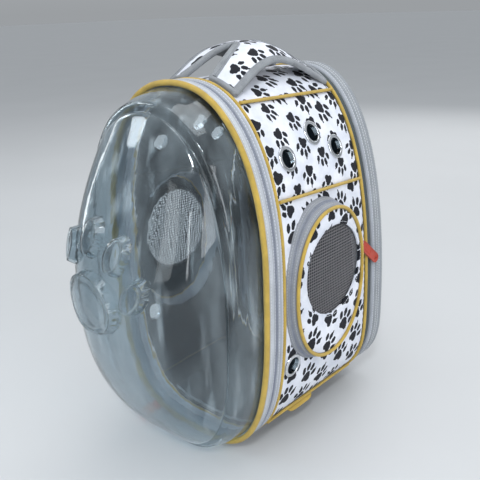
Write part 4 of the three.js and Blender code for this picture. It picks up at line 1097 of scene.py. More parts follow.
wall_profile = [
    (-0.12, 0.0), (0.0, 0.9), (0.1, 0.5), (0.22, 0.35), (0.36, 0.35), (0.42, -0.3), (0.58, -0.3),
    (0.64, 0.3), (0.8, 0.3), (0.92, 0.2),
    (1.0, -0.2), (1.0, -2.2), (0.6, -2.6), (0.2, -2.6), (-0.12, -2.4),
]
for side, label in SIDES:
    rings = np.stack([zip_wall_point(s, lift) for s, lift in wall_profile], 1)
    finish_piece(
        closed_tube(f"window_zip_tape_{label}", mirrored(rings, side), [TAPE_WINDOW]),
        "grey_tape",
        f"window_zip_wall_{label}"
    )
    middle = zip_wall_point(0.5, 0.15)
    outward = zip_wall_point(0.5, 1.15) - middle
    slope = zip_wall_point(0.6, 0.1) - zip_wall_point(0.4, 0.1)
    teeth = []
    for sign, shift in ((-1, 0.0), (1, TOOTH_PITCH / 2)):
        points, along, share = spaced(zip_wall_point(0.5 + sign * 0.075, 0.15), TOOTH_PITCH)
        index = (share * len(turns)).astype(int) % len(turns)
        teeth.append((points + shift * unit(along), slope[index], outward[index]))
    bars = [mirrored(part, side) for part in columns(teeth)]
    finish_piece(pills(f"window_zip_teeth_{label}", *bars, WINDOW_TOOTH, COIL, TOOTH_SIDES), "grey_tape")
    rows = []
    for share_up, lift in ((0.2, 0.5), (0.84, 0.4)):
        points, along, share = spaced(zip_wall_point(share_up, lift), STITCH_PITCH)
        index = (share * len(turns)).astype(int) % len(turns)
        rows.append((points, along, outward[index]))
    bars = [mirrored(part, side) for part in columns(rows)]
    finish_piece(pills(f"window_zip_stitches_{label}", *bars, TAPE_STITCH, THREAD_MIDDLE), "grey_tape")

    section = [(WINDOW_CORD_RADIUS * math.cos(a), WINDOW_CORD_RADIUS * math.sin(a)) for a in angles(14)]
    rings = np.stack([window_points(grow, WINDOW_FACE_X + rise) for grow, rise in section], 1)
    finish_piece(
        closed_tube(f"window_piping_cord_{label}", mirrored(rings, side), [YELLOW]),
        "yellow_piping",
        f"window_piping_{label}"
    )

    # Door cloth between the piping and the mesh, swelling a little outwards
    edge = np.stack(oval(turns, -2.3), -1)
    middle = np.array([MESH_Y, MESH_Z])
    toward = unit(edge - middle)
    share = np.linspace(0, 1, 16)[None, :, None]
    flat = (middle + toward * (MESH_RADIUS - 0.2))[:, None] * (1 - share) + edge[:, None] * share
    width = np.linalg.norm(edge - middle - toward * MESH_RADIUS, axis=-1)[:, None]
    from_edge = np.minimum(share[..., 0], 1 - share[..., 0]) * width
    swell = 1.1 * (1 - np.exp(-from_edge / 5)) + 0.25 * ripple(
        flat[..., 0], flat[..., 1], 41 + side, 40, 16
    )
    outer = np.stack([WINDOW_FACE_X - 1.9 + 0.9 + swell, flat[..., 0], flat[..., 1]], -1)
    inner = outer - np.array([2.0, 0, 0])
    uv = np.concatenate([flat, flat[:1]])
    outer, inner = mirrored(outer, side), mirrored(inner, side)
    door = slab(f"window_door_cloth_{label}", outer, inner, uv, [DOOR_PAWS, LINING, DOOR_PAWS], wrap=True)
    finish_piece(door, "paw_cloth", f"window_panel_{label}")
    ring_turns = 2 * math.pi * turns
    ring = np.stack([
        np.full(WINDOW_AROUND, WINDOW_FACE_X - 0.35),
        MESH_Y + (MESH_RADIUS + 2.2) * np.cos(ring_turns),
        MESH_Z + (MESH_RADIUS + 2.2) * np.sin(ring_turns),
    ], -1)
    points, along, _ = spaced(ring, 3.2)
    bars = [mirrored(part, side) for part in (points, along, np.broadcast_to(ACROSS, points.shape))]
    finish_piece(pills(f"window_mesh_stitches_{label}", *bars, DOOR_STITCH, THREAD), "paw_cloth")


def net(name, centre, radius, pitch, hole, mat):
    """A real net: a square lattice of small round holes, with a soft swell."""
    count = int(radius / pitch) + 1
    spots = {}
    verts, faces = [], []

    def vert(y, z):
        key = (round(y * 100), round(z * 100))
        if key not in spots:
            spots[key] = len(verts)
            far = min(math.hypot(y, z) / radius, 1)
            verts.append((centre[0] + 1.6 * (1 - far ** 2), centre[1] + y, centre[2] + z))
        return spots[key]

    ring = [(math.cos(a), math.sin(a)) for a in (math.pi / 4 * k for k in range(8))]
    for i in range(-count, count + 1):
        for j in range(-count, count + 1):
            y, z = i * pitch, j * pitch
            if math.hypot(y, z) > radius - pitch * 0.7:
                continue
            half = pitch / 2
            border = [(max(min(c * 1.5, 1), -1) * half, max(min(s * 1.5, 1), -1) * half) for c, s in ring]
            for k in range(8):
                a, b = border[k], border[(k + 1) % 8]
                c, d = ring[k], ring[(k + 1) % 8]
                outer_edge = [vert(y + corner[0], z + corner[1]) for corner in (a, b)]
                faces.append(
                    outer_edge + [vert(y + corner[0] * hole, z + corner[1] * hole) for corner in (d, c)]
                )
    uvs = [(verts[v][1], verts[v][2]) for f in faces for v in f]
    obj = build(name, np.array(verts), faces, uvs, [mat], None, 180)
    thick = obj.modifiers.new("thread", "SOLIDIFY")
    thick.thickness = 0.0006
    return obj


for side, label in SIDES:
    made = net(
        f"window_net_cloth_{label}", (WINDOW_FACE_X - 4.6, MESH_Y, MESH_Z), MESH_RADIUS + 3.2, 3.3, 1.48,
        NET
    )
    if side < 0:
        made.data.transform(Matrix.Scale(-1, 4, Vector((1, 0, 0))))
        made.data.flip_normals()
    finish_piece(made, "window_net", f"window_mesh_{label}")


# Clear bubble

DOME_ROWS = (
    # depth, side, top, low: shares of the depth and of the rim's outline
    (0.0, 1.0, 1.0, 1.0), (0.2, 0.985, 0.975, 0.985), (0.33, 0.955, 0.95, 0.96),
    (0.355, 0.888, 0.898, 0.918),
    (0.385, 0.9, 0.905, 0.925),
    (0.5, 0.885, 0.8, 0.86), (0.65, 0.83, 0.63, 0.735), (0.8, 0.69, 0.42, 0.555), (0.9, 0.53, 0.27, 0.385),
    (0.97, 0.32, 0.13, 0.2), (1.0, 0.0, 0.0, 0.0),
)
PAW_CENTRE, PAW_TURN, PAW_RELIEF, PAW_REACH = (-17.0, 211.0), -14.0, 10.5, 54.0
BUBBLE_PADS = (
    dict(x=0, z=-0.28, width=0.74, height=0.57, lean=0),
    dict(x=-1, z=0.35, width=0.24, height=0.39, lean=18),
    dict(x=-0.38, z=0.83, width=0.26, height=0.41, lean=6),
    dict(x=0.38, z=0.83, width=0.26, height=0.41, lean=-6),
    dict(x=1, z=0.35, width=0.24, height=0.39, lean=-18),
)


def soft_rows(count=134):
    """The rows of the dome, resampled evenly along the profile and rounded a little."""
    rows = np.array(DOME_ROWS)
    run = np.concatenate(
        [[0], np.cumsum(np.hypot(np.diff(rows[:, 0]) * BUBBLE_DEPTH, np.diff(rows[:, 1]) * 110))]
    )
    fine = np.linspace(0, run[-1], 1200)
    made = at_places(fine, run, rows)
    spread = fine[1] - fine[0]

    def rounded(values, sigma):
        reach = int(3 * sigma / spread)
        weight = np.exp(-0.5 * (np.arange(-reach, reach + 1) * spread / sigma) ** 2)
        ends = np.concatenate(
            [2 * values[0] - values[reach:0:-1], values, 2 * values[-1] - values[-2:-reach - 2:-1]]
        )
        return np.convolve(ends, weight / weight.sum(), "valid")

    sharp = np.stack([rounded(made[:, k], 1.0) for k in range(4)], 1)
    soft = np.stack([rounded(made[:, k], 7.0) for k in range(4)], 1)
    share = np.clip((made[:, 0] - 0.4) / 0.08, 0, 1)[:, None]
    made = sharp * (1 - share) + soft * share
    made[-1, 1:] = 0
    return at_places(np.linspace(0, fine[-1], count), fine, made)


def dome_points(rows, wall_in, segments):
    axis = BUBBLE_AXIS + FOOT_HEIGHT
    turn = np.arange(segments) / segments
    rim = body(np.zeros(segments), turn, FLANGE_OUT - wall_in)
    made = []
    for depth, side, top, low in rows:
        z = rim[:, 2] - axis
        share = np.clip((z + 30) / 60, 0, 1)
        tall = low + (top - low) * share * share * (3 - 2 * share)
        y = -1.8 - BUBBLE_DEPTH * depth + wall_in
        made.append(np.stack([rim[:, 0] * side, np.full(segments, y), axis + z * tall], -1))
    return np.stack(made, 1)


def pad_frames(points):
    """Middle, facing, across and up of each pad of the moulded paw, found on the dome's own points."""
    flat = points.reshape(-1, 3)
    found = []
    turn = math.radians(PAW_TURN)
    for pad in BUBBLE_PADS:
        x = PAW_CENTRE[0] + PAW_REACH * (pad["x"] * math.cos(turn) - pad["z"] * math.sin(turn))
        z = PAW_CENTRE[1] + FOOT_HEIGHT + PAW_REACH * (
            pad["x"] * math.sin(turn) + pad["z"] * math.cos(turn)
        )
        near = flat[np.hypot(flat[:, 0] - x, flat[:, 2] - z) < 15]
        near = near[near[:, 1] < -20]
        a = np.column_stack([near[:, 0] - x, near[:, 2] - z, np.ones(len(near))])
        slope_x, slope_z, y = np.linalg.lstsq(a, near[:, 1], rcond=None)[0]
        facing = unit(np.array([slope_x, -1.0, slope_z]))
        lean = math.radians(pad["lean"]) + turn
        up = np.array([-math.sin(lean), 0, math.cos(lean)])
        across = unit(np.cross(facing, up))
        up = np.cross(across, facing)
        found.append(
            (np.array([x, y, z]), facing, across, up, pad["width"] * PAW_REACH, pad["height"] * PAW_REACH)
        )
    return found


def raise_pads(points, frames, shrink, groove):
    """Lifts the pads out of a dome surface, with points near a pad's edges moved on to them. groove is
    how deep the ring near the edge of a pad's top goes."""
    made = points.copy()
    for centre, facing, across, up, width, height in frames:
        width, height = width - shrink, height - shrink
        shift = made - centre
        a, b, depth = shift @ across / width, shift @ up / height, shift @ facing
        level = np.hypot(a, b)
        close = np.abs(depth) < 30
        size = min(width, height)
        wall = 2.2 / size
        for edge in (1.0, 1.0 - wall):
            near = close & (np.abs(level - edge) * size < 0.75)
            pull = np.where(near, edge / np.maximum(level, 1e-6) - 1, 0)
            made = made + pull[..., None] * (a[..., None] * width * across + b[..., None] * height * up)
            level = np.where(near, edge, level)
            a, b = a * (1 + pull), b * (1 + pull)
        rise = np.clip((1.0 - level) / wall, 0, 1)
        crown = 1.2 * np.clip(1 - level ** 2, 0, 1) - groove * np.exp(-((level - 0.76) * size / 1.3) ** 2)
        lift = np.where(close, rise * (PAW_RELIEF - 1.2) + np.where(rise >= 1, crown, 0), 0)
        made = made + lift[..., None] * facing
    return made


BUBBLE_AROUND = 320
rows = soft_rows()
plain = dome_points(rows, 0.0, BUBBLE_AROUND)
frames = pad_frames(plain)
outer = raise_pads(plain, frames, 0.0, 0.9)
inner_frames = [(centre + BUBBLE_WALL * BACKWARDS, *rest) for centre, *rest in frames]
inner = raise_pads(dome_points(rows, BUBBLE_WALL, BUBBLE_AROUND), inner_frames, BUBBLE_WALL, 0.0)
flange_outer, flange_inner = outer[:, :1].copy(), inner[:, :1].copy()
flange_outer[..., 1] = BUBBLE_FLANGE
flange_inner[..., 1] = BUBBLE_FLANGE
shell = np.concatenate([flange_inner, inner[:, :-1], inner[:, -1:]], 1)
skin = np.concatenate([flange_outer, outer], 1)
count_v = skin.shape[1]
total = BUBBLE_AROUND * count_v
faces, _ = ring_surface(skin, np.zeros((BUBBLE_AROUND + 1, count_v, 2)), True, False)
here = np.arange(BUBBLE_AROUND) * count_v
ahead = np.roll(here, -1)
rim = np.stack([here, ahead, total + ahead, total + here], 1)
faces = np.concatenate([faces, faces[:, ::-1] + total, rim])
points = np.concatenate([skin.reshape(-1, 3), shell.reshape(-1, 3)])
bubble = build(
    "bubble_clear_shell", points, faces, np.zeros((len(faces) * 4, 2)), [CLEAR], None, 180, flip=False
)
turn_outwards(bubble.data, merge=1e-6)
bubble.data.set_sharp_from_angle(angle=math.radians(48))
finish_piece(bubble, "clear_bubble", "bubble_shell")


# Flat moulded pieces from outlines

# The angle in degrees from which an edge of a moulded piece looks sharp
MOULDED_EDGE = 38


def local_frame(origin, facing, pointing):
    """A matrix in metres for a piece drawn flat in millimetres, facing +Z and pointing along +X."""
    facing = Vector(facing).normalized()
    across = facing.cross(Vector(pointing)).normalized()
    along = across.cross(facing)
    matrix = Matrix((along, across, facing)).transposed().to_4x4()
    matrix.translation = Vector(place(np.array(origin)).tolist())
    return matrix @ Matrix.Scale(0.001, 4)


def plate(name, loops, low, high, bevel, matrix, mat, resolution=4):
    """A flat piece with rounded edges from an outline and its holes."""
    curve = bpy.data.curves.new(name, "CURVE")
    curve.dimensions = "2D"
    curve.fill_mode = "BOTH"
    curve.extrude = (high - low) / 2 - bevel
    curve.bevel_depth = bevel
    curve.bevel_resolution = resolution
    curve.offset = -bevel
    for loop in loops:
        spline = curve.splines.new("POLY")
        spline.points.add(len(loop) - 1)
        for point, (x, y) in zip(spline.points, loop):
            point.co = (x, y, 0, 1)
        spline.use_cyclic_u = True
    holder = add_object(name + "_outline", curve)
    mesh = bpy.data.meshes.new_from_object(holder.evaluated_get(bpy.context.evaluated_depsgraph_get()))
    bpy.data.objects.remove(holder)
    mesh.name = name
    mesh.transform(matrix @ Matrix.Translation((0, 0, (low + high) / 2)))
    mesh.materials.clear()
    mesh.materials.append(mat)
    smooth_faces(mesh)
    turn_outwards(mesh, merge=2e-6)
    mesh.set_sharp_from_angle(angle=math.radians(MOULDED_EDGE))
    return add_object(name, mesh)


def circle(x, y, radius, count=28):
    return [(x + radius * math.cos(a), y + radius * math.sin(a)) for a in angles(count)]


def pull_outline(length, width, inset=0.0):
    """A pull: a narrow eye at the pin, then a broad strip with a round end."""
    half, eye = width / 2 - inset, 4.3 - inset
    made = arc((0, 0), eye, 60, 300, 15)
    made += [(5.5, -half * 0.8), (8.5, -half)]
    made += arc((length - width, 0), half, -90, 90, 17)
    made += [(8.5, half), (5.5, half * 0.8)]
    return made


def joined(name, parts):
    """One object from several, with their materials."""
    merged = bmesh.new()
    mats = []
    for part in parts:
        start = len(merged.faces)
        merged.from_mesh(part.data)
        merged.faces.ensure_lookup_table()
        mat = part.data.materials[0]
        if mat not in mats:
            mats.append(mat)
        for face in merged.faces[start:]:
            face.material_index = mats.index(mat)
    mesh = bpy.data.meshes.new(name)
    merged.to_mesh(mesh)
    merged.free()
    for mat in mats:
        mesh.materials.append(mat)
    for part in parts:
        bpy.data.objects.remove(part)
    mesh.set_sharp_from_angle(angle=math.radians(MOULDED_EDGE))
    return add_object(name, mesh)


def pull_tab(name, length, matrix, mat):
    """A moulded pull with a raised border, grip ribs and a small round eye near its end."""
    width = 12.0
    low, high = 3.5, 5.7
    end_hole = length - width
    base = [pull_outline(length, width), circle(0, 0, 2.1), circle(end_hole, 0, 1.8)]
    border = [pull_outline(length, width, 0.3), pull_outline(length, width, 1.7)]
    eye = [circle(end_hole, 0, 3.1), circle(end_hole, 0, 1.85)]
    parts = [
        plate(name + "_a", base, low, high - 0.5, 0.45, matrix, mat),
        plate(name + "_b", border, high - 1.2, high, 0.3, matrix, mat),
        plate(name + "_c", eye, high - 1.2, high, 0.25, matrix, mat),
    ]
    first_rib, rib_pitch, rib_width, rib_reach = 15, 3.2, 1.2, 3.2
    for k in range(5):
        x = first_rib + k * rib_pitch
        rib = [(x, -rib_reach), (x + rib_width, -rib_reach), (x + rib_width, rib_reach), (x, rib_reach)]
        parts.append(plate(f"{name}_rib{k}", [rib], high - 1.0, high - 0.1, 0.3, matrix, mat))
    return joined(name, parts)


def slider(name, matrix):
    """A zip slider: a waisted base plate with side rails, a bridge and a headed pin."""
    edge = [(-6, -2.6), (-3.6, -3.6), (-1, -3.0), (2, -3.2), (5.2, -4), (6, -3.4)]
    outline = edge + [(x, -y) for x, y in reversed(edge)]
    parts = [
        plate(name + "_a", [outline], 0.0, 1.5, 0.4, matrix, CHROME),
        plate(name + "_b", [[(x * 0.92, y * 0.9) for x, y in outline]], 1.4, 3.2, 0.6, matrix, CHROME),
        plate(name + "_c", [circle(0, 0, 1.7)], 2.6, 6.05, 0.2, matrix, CHROME),
        plate(name + "_d", [circle(0, 0, 3.0)], 6.0, 6.9, 0.35, matrix, CHROME),
    ]
    return joined(name, parts)


WINDOW_PULL_LENGTH, WINDOW_PULL_REST, BUBBLE_PULL_LENGTH = 58.0, -40, 46.0
joints = {joint["name"]: joint for joint in frame["record"]["behaviour"]["joints"]}


for side, label in SIDES:
    pivot = own_place(joints[f"pull_tab_{label}_swing"]["pos_m"])
    facing = (side, 0, 0)
    made = slider(f"window_zip_slider_{label}", local_frame(pivot, facing, (0, 0, 1)))
    finish_piece(made, "eyelet_metal", f"window_slider_{label}")
    rest = math.radians(WINDOW_PULL_REST)
    matrix = local_frame(pivot, facing, (0, math.cos(rest), math.sin(rest)))
    made = pull_tab(f"window_pull_{label}", WINDOW_PULL_LENGTH, matrix, RED)
    finish_piece(made, "red_pull", f"window_pull_tab_{label}", body_name=f"pull_tab_{label}")

pivot = own_place(joints["bubble_tab_swing"]["pos_m"])
facing = np.array(joints["bubble_tab_swing"]["axis"])
along_zip = np.cross(BACKWARDS, facing)
made = slider("bubble_zip_slider", local_frame(pivot, facing, along_zip))
finish_piece(made, "eyelet_metal", "bubble_slider")
made = pull_tab("bubble_pull", BUBBLE_PULL_LENGTH, local_frame(pivot, facing, (0, -1, 0)), ORANGE)
finish_piece(made, "orange_pull", "bubble_pull_tab", body_name="pull_tab_bubble")


# Handle

HANDLE_FRONT, HANDLE_REAR = WALL_FRONT + 2, WALL_REAR - 2
HANDLE_MIDDLE = (HANDLE_FRONT + HANDLE_REAR) / 2
INNER_FOOT, HANDLE_RISE, HANDLE_WAIST, HANDLE_THICKNESS = 20.0, 29.0, 19.0, 3.0
OUTER_FOOT = 53.03
# For the right and the left end: how much higher it lies than the middle, and its waist as a share
HANDLE_SIDES = ((-8.0, 0.81), (5.0, 0.98))
BINDING_HEIGHT = 3.0


def top_height(x, y):
    """How high the body's top lies at a place on it."""
    share = search(0.7, 1.0, np.shape(x), 26, lambda middle: blended(y, middle)[0] > np.abs(x))
    return blended(y, share)[1]


def handle_point(u, v, lift):
    """A place on the handle: u runs from its left end to its right, and v from front to rear."""
    u, v = np.broadcast_arrays(np.asarray(u, float), np.asarray(v, float))
    fall = np.where(u >= 0, HANDLE_SIDES[0][0], HANDLE_SIDES[1][0])
    waist = np.where(u >= 0, HANDLE_SIDES[0][1], HANDLE_SIDES[1][1])
    inner = INNER_FOOT / OUTER_FOOT
    arch = np.where(np.abs(u) < inner, np.cos(math.pi / 2 * np.clip(u / inner, -1, 1)), 0)
    reach = (HANDLE_REAR - HANDLE_FRONT) / 2
    y = HANDLE_MIDDLE + v * (reach - arch * (reach - HANDLE_WAIST))
    foot = np.abs(y - HANDLE_MIDDLE) / reach
    x = u * OUTER_FOOT * (waist + (1 - waist) * foot ** 1.5)
    climb = np.sin(math.pi / 2 * np.clip(1 - foot, 0, 1)) ** 1.2
    rise = (HANDLE_RISE + fall * u * u) * climb
    return np.stack([x, y, top_height(x, y) + 0.8 + rise + lift], -1)


inner_share = INNER_FOOT / OUTER_FOOT
u = np.concatenate([
    np.linspace(-1, -inner_share, 22),
    np.linspace(-inner_share, inner_share, 44)[1:],
    np.linspace(inner_share, 1, 22)[1:],
])
v = np.linspace(-1, 1, 90)
grid_u, grid_v = np.meshgrid(u, v, indexing="ij")
edge = np.minimum(1 - np.abs(grid_u), 1 - np.abs(grid_v)) * 50
soft = 0.25 * ripple(grid_u * 53, grid_v * 80, 51, 50, 20)
over = handle_point(grid_u, grid_v, 0) + np.stack(
    [0 * soft, 0 * soft, 2.8 + soft - 0.8 * np.exp(-edge / 2)], -1
)
under = handle_point(grid_u, grid_v, 0) + np.stack([0 * soft, 0 * soft, 0.2 + soft * 0.3], -1)
uv = np.stack([grid_u * 53, over[..., 1]], -1)
finish_piece(
    slab("handle_cloth", over, under, uv, [HANDLE_PAWS, BINDING, BINDING]), "paw_cloth", "handle_sheet"
)


def edge_binding(name, u_edge, v_edge, u_in, v_in, nodes=(), half_width=4.6):
    """A bound edge: tape folded round an edge of the handle, with a row of stitches. The edge runs along
    u_edge and v_edge, and u_in and v_in give places a little further in on the cloth."""
    path = handle_point(u_edge, v_edge, HANDLE_THICKNESS / 2)
    inward = handle_point(u_in, v_in, HANDLE_THICKNESS / 2) - path
    along = unit(np.gradient(path, axis=0))
    inward = unit(inward - (inward * along).sum(-1, keepdims=True) * along)
    up = np.cross(along, inward)
    up *= np.sign(up[:, 2:3] + 1e-9)
    count = len(path)
    centre = path + inward * (half_width - 2.2)
    angle = angles(20)
    wide = half_width * powered(np.cos(angle), 0.7)
    high = BINDING_HEIGHT * powered(np.sin(angle), 0.8)
    fuzz = 1 + 0.07 * ripple(np.arange(count) * 2.0, np.arange(count) * 0.5, 61, 18, 5)[:, None]
    rings = sections(centre, inward, fuzz * up, wide, high)
    finish_piece(open_tube(name + "_tape", rings, [BINDING]), "grey_webbing", *nodes)
    points, direction, share = spaced(centre + inward * (half_width - 1.6) + up * 2.6, 3.0, False)
    index = np.clip((share * count).astype(int), 0, count - 1)
    stitches = pills(name + "_stitches", points, direction, up[index], BINDING_STITCH, THREAD_DARK)
    finish_piece(stitches, "grey_webbing")


line = np.linspace(-1, 1, 90)
ends = np.full(90, 1.0)
for label, sign in (("front", -1), ("rear", 1)):
    bow = line * inner_share * 0.97
    edge_binding(f"handle_{label}", bow, sign * ends, bow, sign * 0.93 * ends, [f"handle_binding_{label}"])
    for side, side_label in SIDES:
        foot_line = side * np.linspace(inner_share * 0.9, 1, 24)
        outer_edge, inner_edge = sign * 0.985 * ends[:24], sign * 0.93 * ends[:24]
        edge_binding(
            f"handle_foot_{label}_{side_label}", foot_line, outer_edge, foot_line, inner_edge, (), 2.8
        )
for sign, label in SIDES:
    half_width = 4.4 if sign > 0 else 7.0
    edge_binding(
        f"handle_{label}", sign * ends, line * 0.985, sign * 0.9 * ends, line * 0.985,
        [f"handle_binding_{label}"], half_width
    )


# Back, straps and underside

BACK_FACE_Y = own_place(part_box("back_panel")[1])[1]
BACK_OUT = -7.3
# Heights of the stitched lines across the back
QUILT_LEVELS = (92, 154, 216, 278, 330)


def quilt_line(x, level):
    """Height of a stitched line across the back: it sags a little towards the middle."""
    return level + 0.0012 * x * x


def seam_distance(x, z):
    """How far a place on the back is from the nearest stitched line, in millimetres."""
    away = np.abs(x)
    for level in QUILT_LEVELS:
        away = np.minimum(away, np.abs(z - quilt_line(x, level)))
    return away


def mesh_points(mesh):
    """A mesh's points in millimetres of the carrier's frame."""
    flat = np.empty(len(mesh.vertices) * 3)
    mesh.vertices.foreach_get("co", flat)
    return (flat.reshape(-1, 3) - np.array([0, RIM_SHIFT, 0])) * 1000


def keep_shape(obj):
    """Makes what an object's modifiers give its own mesh, and takes the modifiers off."""
    made = bpy.data.meshes.new_from_object(obj.evaluated_get(bpy.context.evaluated_depsgraph_get()))
    obj.modifiers.clear()
    obj.data = made
    return made


def swell(obj, held, cap):
    """Blows up a padded piece between its seams as cloth under air pressure. held says for each
    point whether it is sewn down, and no point moves further than cap, in millimetres."""
    remesh = obj.modifiers.new("even_grid", "REMESH")
    remesh.mode = "VOXEL"
    remesh.voxel_size = 0.005
    mesh = keep_shape(obj)
    before = mesh_points(mesh)
    group = obj.vertex_groups.new(name="sewn_down")
    group.add(np.flatnonzero(held(before)).tolist(), 1.0, "REPLACE")
    cloth_step = obj.modifiers.new("air", "CLOTH")
    settings = cloth_step.settings
    settings.vertex_group_mass = group.name
    settings.use_pressure = True
    settings.uniform_pressure_force = 400
    settings.tension_stiffness = 4
    settings.compression_stiffness = 4
    settings.mass = 0.1
    settings.bending_stiffness = 0.1
    settings.effector_weights.gravity = 0
    for number in range(1, 21):
        bpy.context.scene.frame_set(number)
    after = mesh_points(obj.evaluated_get(bpy.context.evaluated_depsgraph_get()).data)
    obj.modifiers.clear()
    bpy.context.scene.frame_set(1)
    shift = after - before
    size = np.linalg.norm(shift, axis=1, keepdims=True)
    shift *= np.minimum(1, cap / np.maximum(size, 1e-9))
    mesh.vertices.foreach_set("co", place(before + shift).ravel())
    mesh.update()
    obj.vertex_groups.clear()
    obj.modifiers.new("soft_faces", "SUBSURF")
    return keep_shape(obj)


def back_surface():
    """The padded back: quilted channels between stitched grooves, flat at its edge."""
    around, across = 260, 60
    turn = np.arange(around) / around
    edge = body(np.full(around, BODY_DEPTH), turn, BACK_OUT + 1.6)
    middle = np.array([0, BODY_DEPTH, 215.0])
    share = np.linspace(0.012, 1, across)[None, :, None]
    flat = middle + (edge - middle)[:, None] * share
    x, z = flat[..., 0], flat[..., 2]
    from_edge = (1 - share[..., 0]) * np.linalg.norm(edge - middle, axis=-1)[:, None]
    rise = BACK_FACE_Y - 6.6 + 3.0 * np.sin(np.clip(from_edge / 16, 0, 1) * math.pi / 2)
    inside = np.clip(from_edge / 14, 0, 1)
    rise = rise - 3.4 * np.exp(
        -seam_distance(x, z) / 4.0
    ) * inside + 0.25 * ripple(x, z, 71, 60, 24) * inside
    flat[..., 1] = rise
    front = flat.copy()
    front[..., 1] = BODY_DEPTH - 12.6
    return flat, front


rear_face, front_face = back_surface()
count_u, count_v = rear_face.shape[:2]
grids = (rear_face, front_face)
verts = np.concatenate(
    [grid.reshape(-1, 3) for grid in grids] + [grid[:, 0].mean(0)[None] for grid in grids]
)
total = count_u * count_v
uv_flat = np.stack([rear_face[..., 0], rear_face[..., 2]], -1)
uv_flat = np.concatenate([uv_flat, uv_flat[:1]])
faces, corners = ring_surface(rear_face, uv_flat, True, False)
all_faces = [list(f) for f in faces] + [[q + total for q in f[::-1]] for f in faces]
all_corners = [*corners, *corners.reshape(-1, 4, 2)[:, ::-1].reshape(-1, 2)]
mat_index = [0] * len(faces) + [1] * len(faces)
for i in range(count_u):
    i2 = (i + 1) % count_u
    a, b = i * count_v + count_v - 1, i2 * count_v + count_v - 1
    all_faces.append([a, b, b + total, a + total])
    all_corners += [(0, 0)] * 4
    mat_index.append(1)
    all_faces.append([i * count_v, i2 * count_v, 2 * total])
    all_faces.append([i * count_v + total, i2 * count_v + total, 2 * total + 1])
    all_corners += [(0, 0)] * 6
    mat_index += [0, 1]
back = build("back_pad", verts, all_faces, all_corners, [AIR_MESH, LINING], mat_index, 180)
back_mesh = swell(
    back, lambda at: (at[:, 1] < BACK_FACE_Y - 7.5) | (seam_distance(at[:, 0], at[:, 2]) < 2.6), 3.9
)
back_points = mesh_points(back_mesh)
corner_points = np.empty(len(back_mesh.loops), dtype=np.int32)
back_mesh.loops.foreach_get("vertex_index", corner_points)
back_layer = back_mesh.uv_layers.get("cloth") or back_mesh.uv_layers.new(name="cloth")
back_layer.data.foreach_set("uv", back_points[corner_points][:, [0, 2]].astype(np.float32).ravel())
face_ways = np.empty(len(back_mesh.polygons) * 3)
back_mesh.polygons.foreach_get("normal", face_ways)
back_mesh.polygons.foreach_set("material_index", (face_ways.reshape(-1, 3)[:, 1] < -0.5).astype(np.int32))
smooth_faces(back_mesh)
finish_piece(back, "grey_webbing", "back_panel")

on_back = back_points[back_points[:, 1] > BACK_FACE_Y - 9]
quilt_stitches = []
for level in QUILT_LEVELS:
    x = np.linspace(-105, 105, 60)
    quilt_stitches.append((np.stack([x, quilt_line(x, level)], -1), (1.0, 0, 0)))
z = np.linspace(20, 395, 104)
quilt_stitches.append((np.stack([0 * z, z], -1), (0, 0, 1.0)))
centres, directions = [], []
for line_points, direction in quilt_stitches:
    for x, z in line_points:
        gap = np.hypot(on_back[:, 0] - x, on_back[:, 2] - z)
        nearest = int(np.argmin(gap))
        if gap[nearest] < 3:
            centres.append((x, on_back[nearest, 1] + 0.15, z))
            directions.append(direction)
centres, directions = np.array(centres), np.array(directions)
back_facing = np.broadcast_to(BACKWARDS, centres.shape)
stitches = pills("back_stitches", centres, directions, back_facing, STRAP_STITCH, THREAD_DARK)
finish_piece(stitches, "grey_webbing")


def smooth_path(points, count):
    """A smooth curve through points."""
    points = np.asarray(points, float)
    padded = np.concatenate([[2 * points[0] - points[1]], points, [2 * points[-1] - points[-2]]])
    made = []
    spans = len(points) - 1
    for t in np.linspace(0, spans, count):
        k = min(int(t), spans - 1)
        f = t - k
        p0, p1, p2, p3 = padded[k:k + 4]
        square, cube = 2 * p0 - 5 * p1 + 4 * p2 - p3, 3 * p1 - p0 - 3 * p2 + p3
        made.append(0.5 * ((2 * p1) + (p2 - p0) * f + square * f ** 2 + cube * f ** 3))
    return np.array(made)


def strap_rings(path, widths, thicks, crown=0.5, around=28):
    """Cross sections of a strap: rounded edges, thicker in the middle than at its edges."""
    along = np.gradient(path, axis=0)
    face = unit(np.stack([np.zeros(len(path)), -along[:, 2], along[:, 1]], -1))
    angle = angles(around)
    wide = powered(np.cos(angle), 0.55)
    high = powered(np.sin(angle), 0.75) * (1 - crown * np.abs(wide) ** 6 * 0.5)
    return sections(path, (widths / 2)[:, None] * ACROSS, (thicks / 2)[:, None] * face, wide, high), face


STRAP_TOP_X, STRAP_LOW_X = 0.157 * BODY_WIDTH, 0.26 * BODY_WIDTH
STRAP_TOP_Z, STRAP_LOW_Z = 0.875 * BODY_HEIGHT, 0.355 * BODY_HEIGHT
STRAP_WIDTH, STRAP_THICKNESS, STAND_OFF, STRAP_SEWN = 52.0, 8.0, 29.0, 16.0
face_y = BACK_FACE_Y + 0.6 + STRAP_THICKNESS / 2
far_y = BACK_FACE_Y + STAND_OFF
run, span = STRAP_LOW_X - STRAP_TOP_X, STRAP_TOP_Z - STRAP_LOW_Z
strap_route = [
    (STRAP_TOP_X, face_y, STRAP_TOP_Z),
    (STRAP_TOP_X, face_y + 1, STRAP_TOP_Z - STRAP_SEWN),
    (STRAP_TOP_X + run * 0.12, face_y + (far_y - face_y) * 0.45, STRAP_TOP_Z - span * 0.15),
    (STRAP_TOP_X + run * 0.5, far_y, STRAP_TOP_Z - span * 0.45),
    (STRAP_LOW_X, far_y - 8, STRAP_LOW_Z),
]
STRAP_STEPS, WEB_STEPS = 80, 70
adjuster_z = STRAP_LOW_Z - 0.7 - 11
adjuster_y = far_y - 9.5
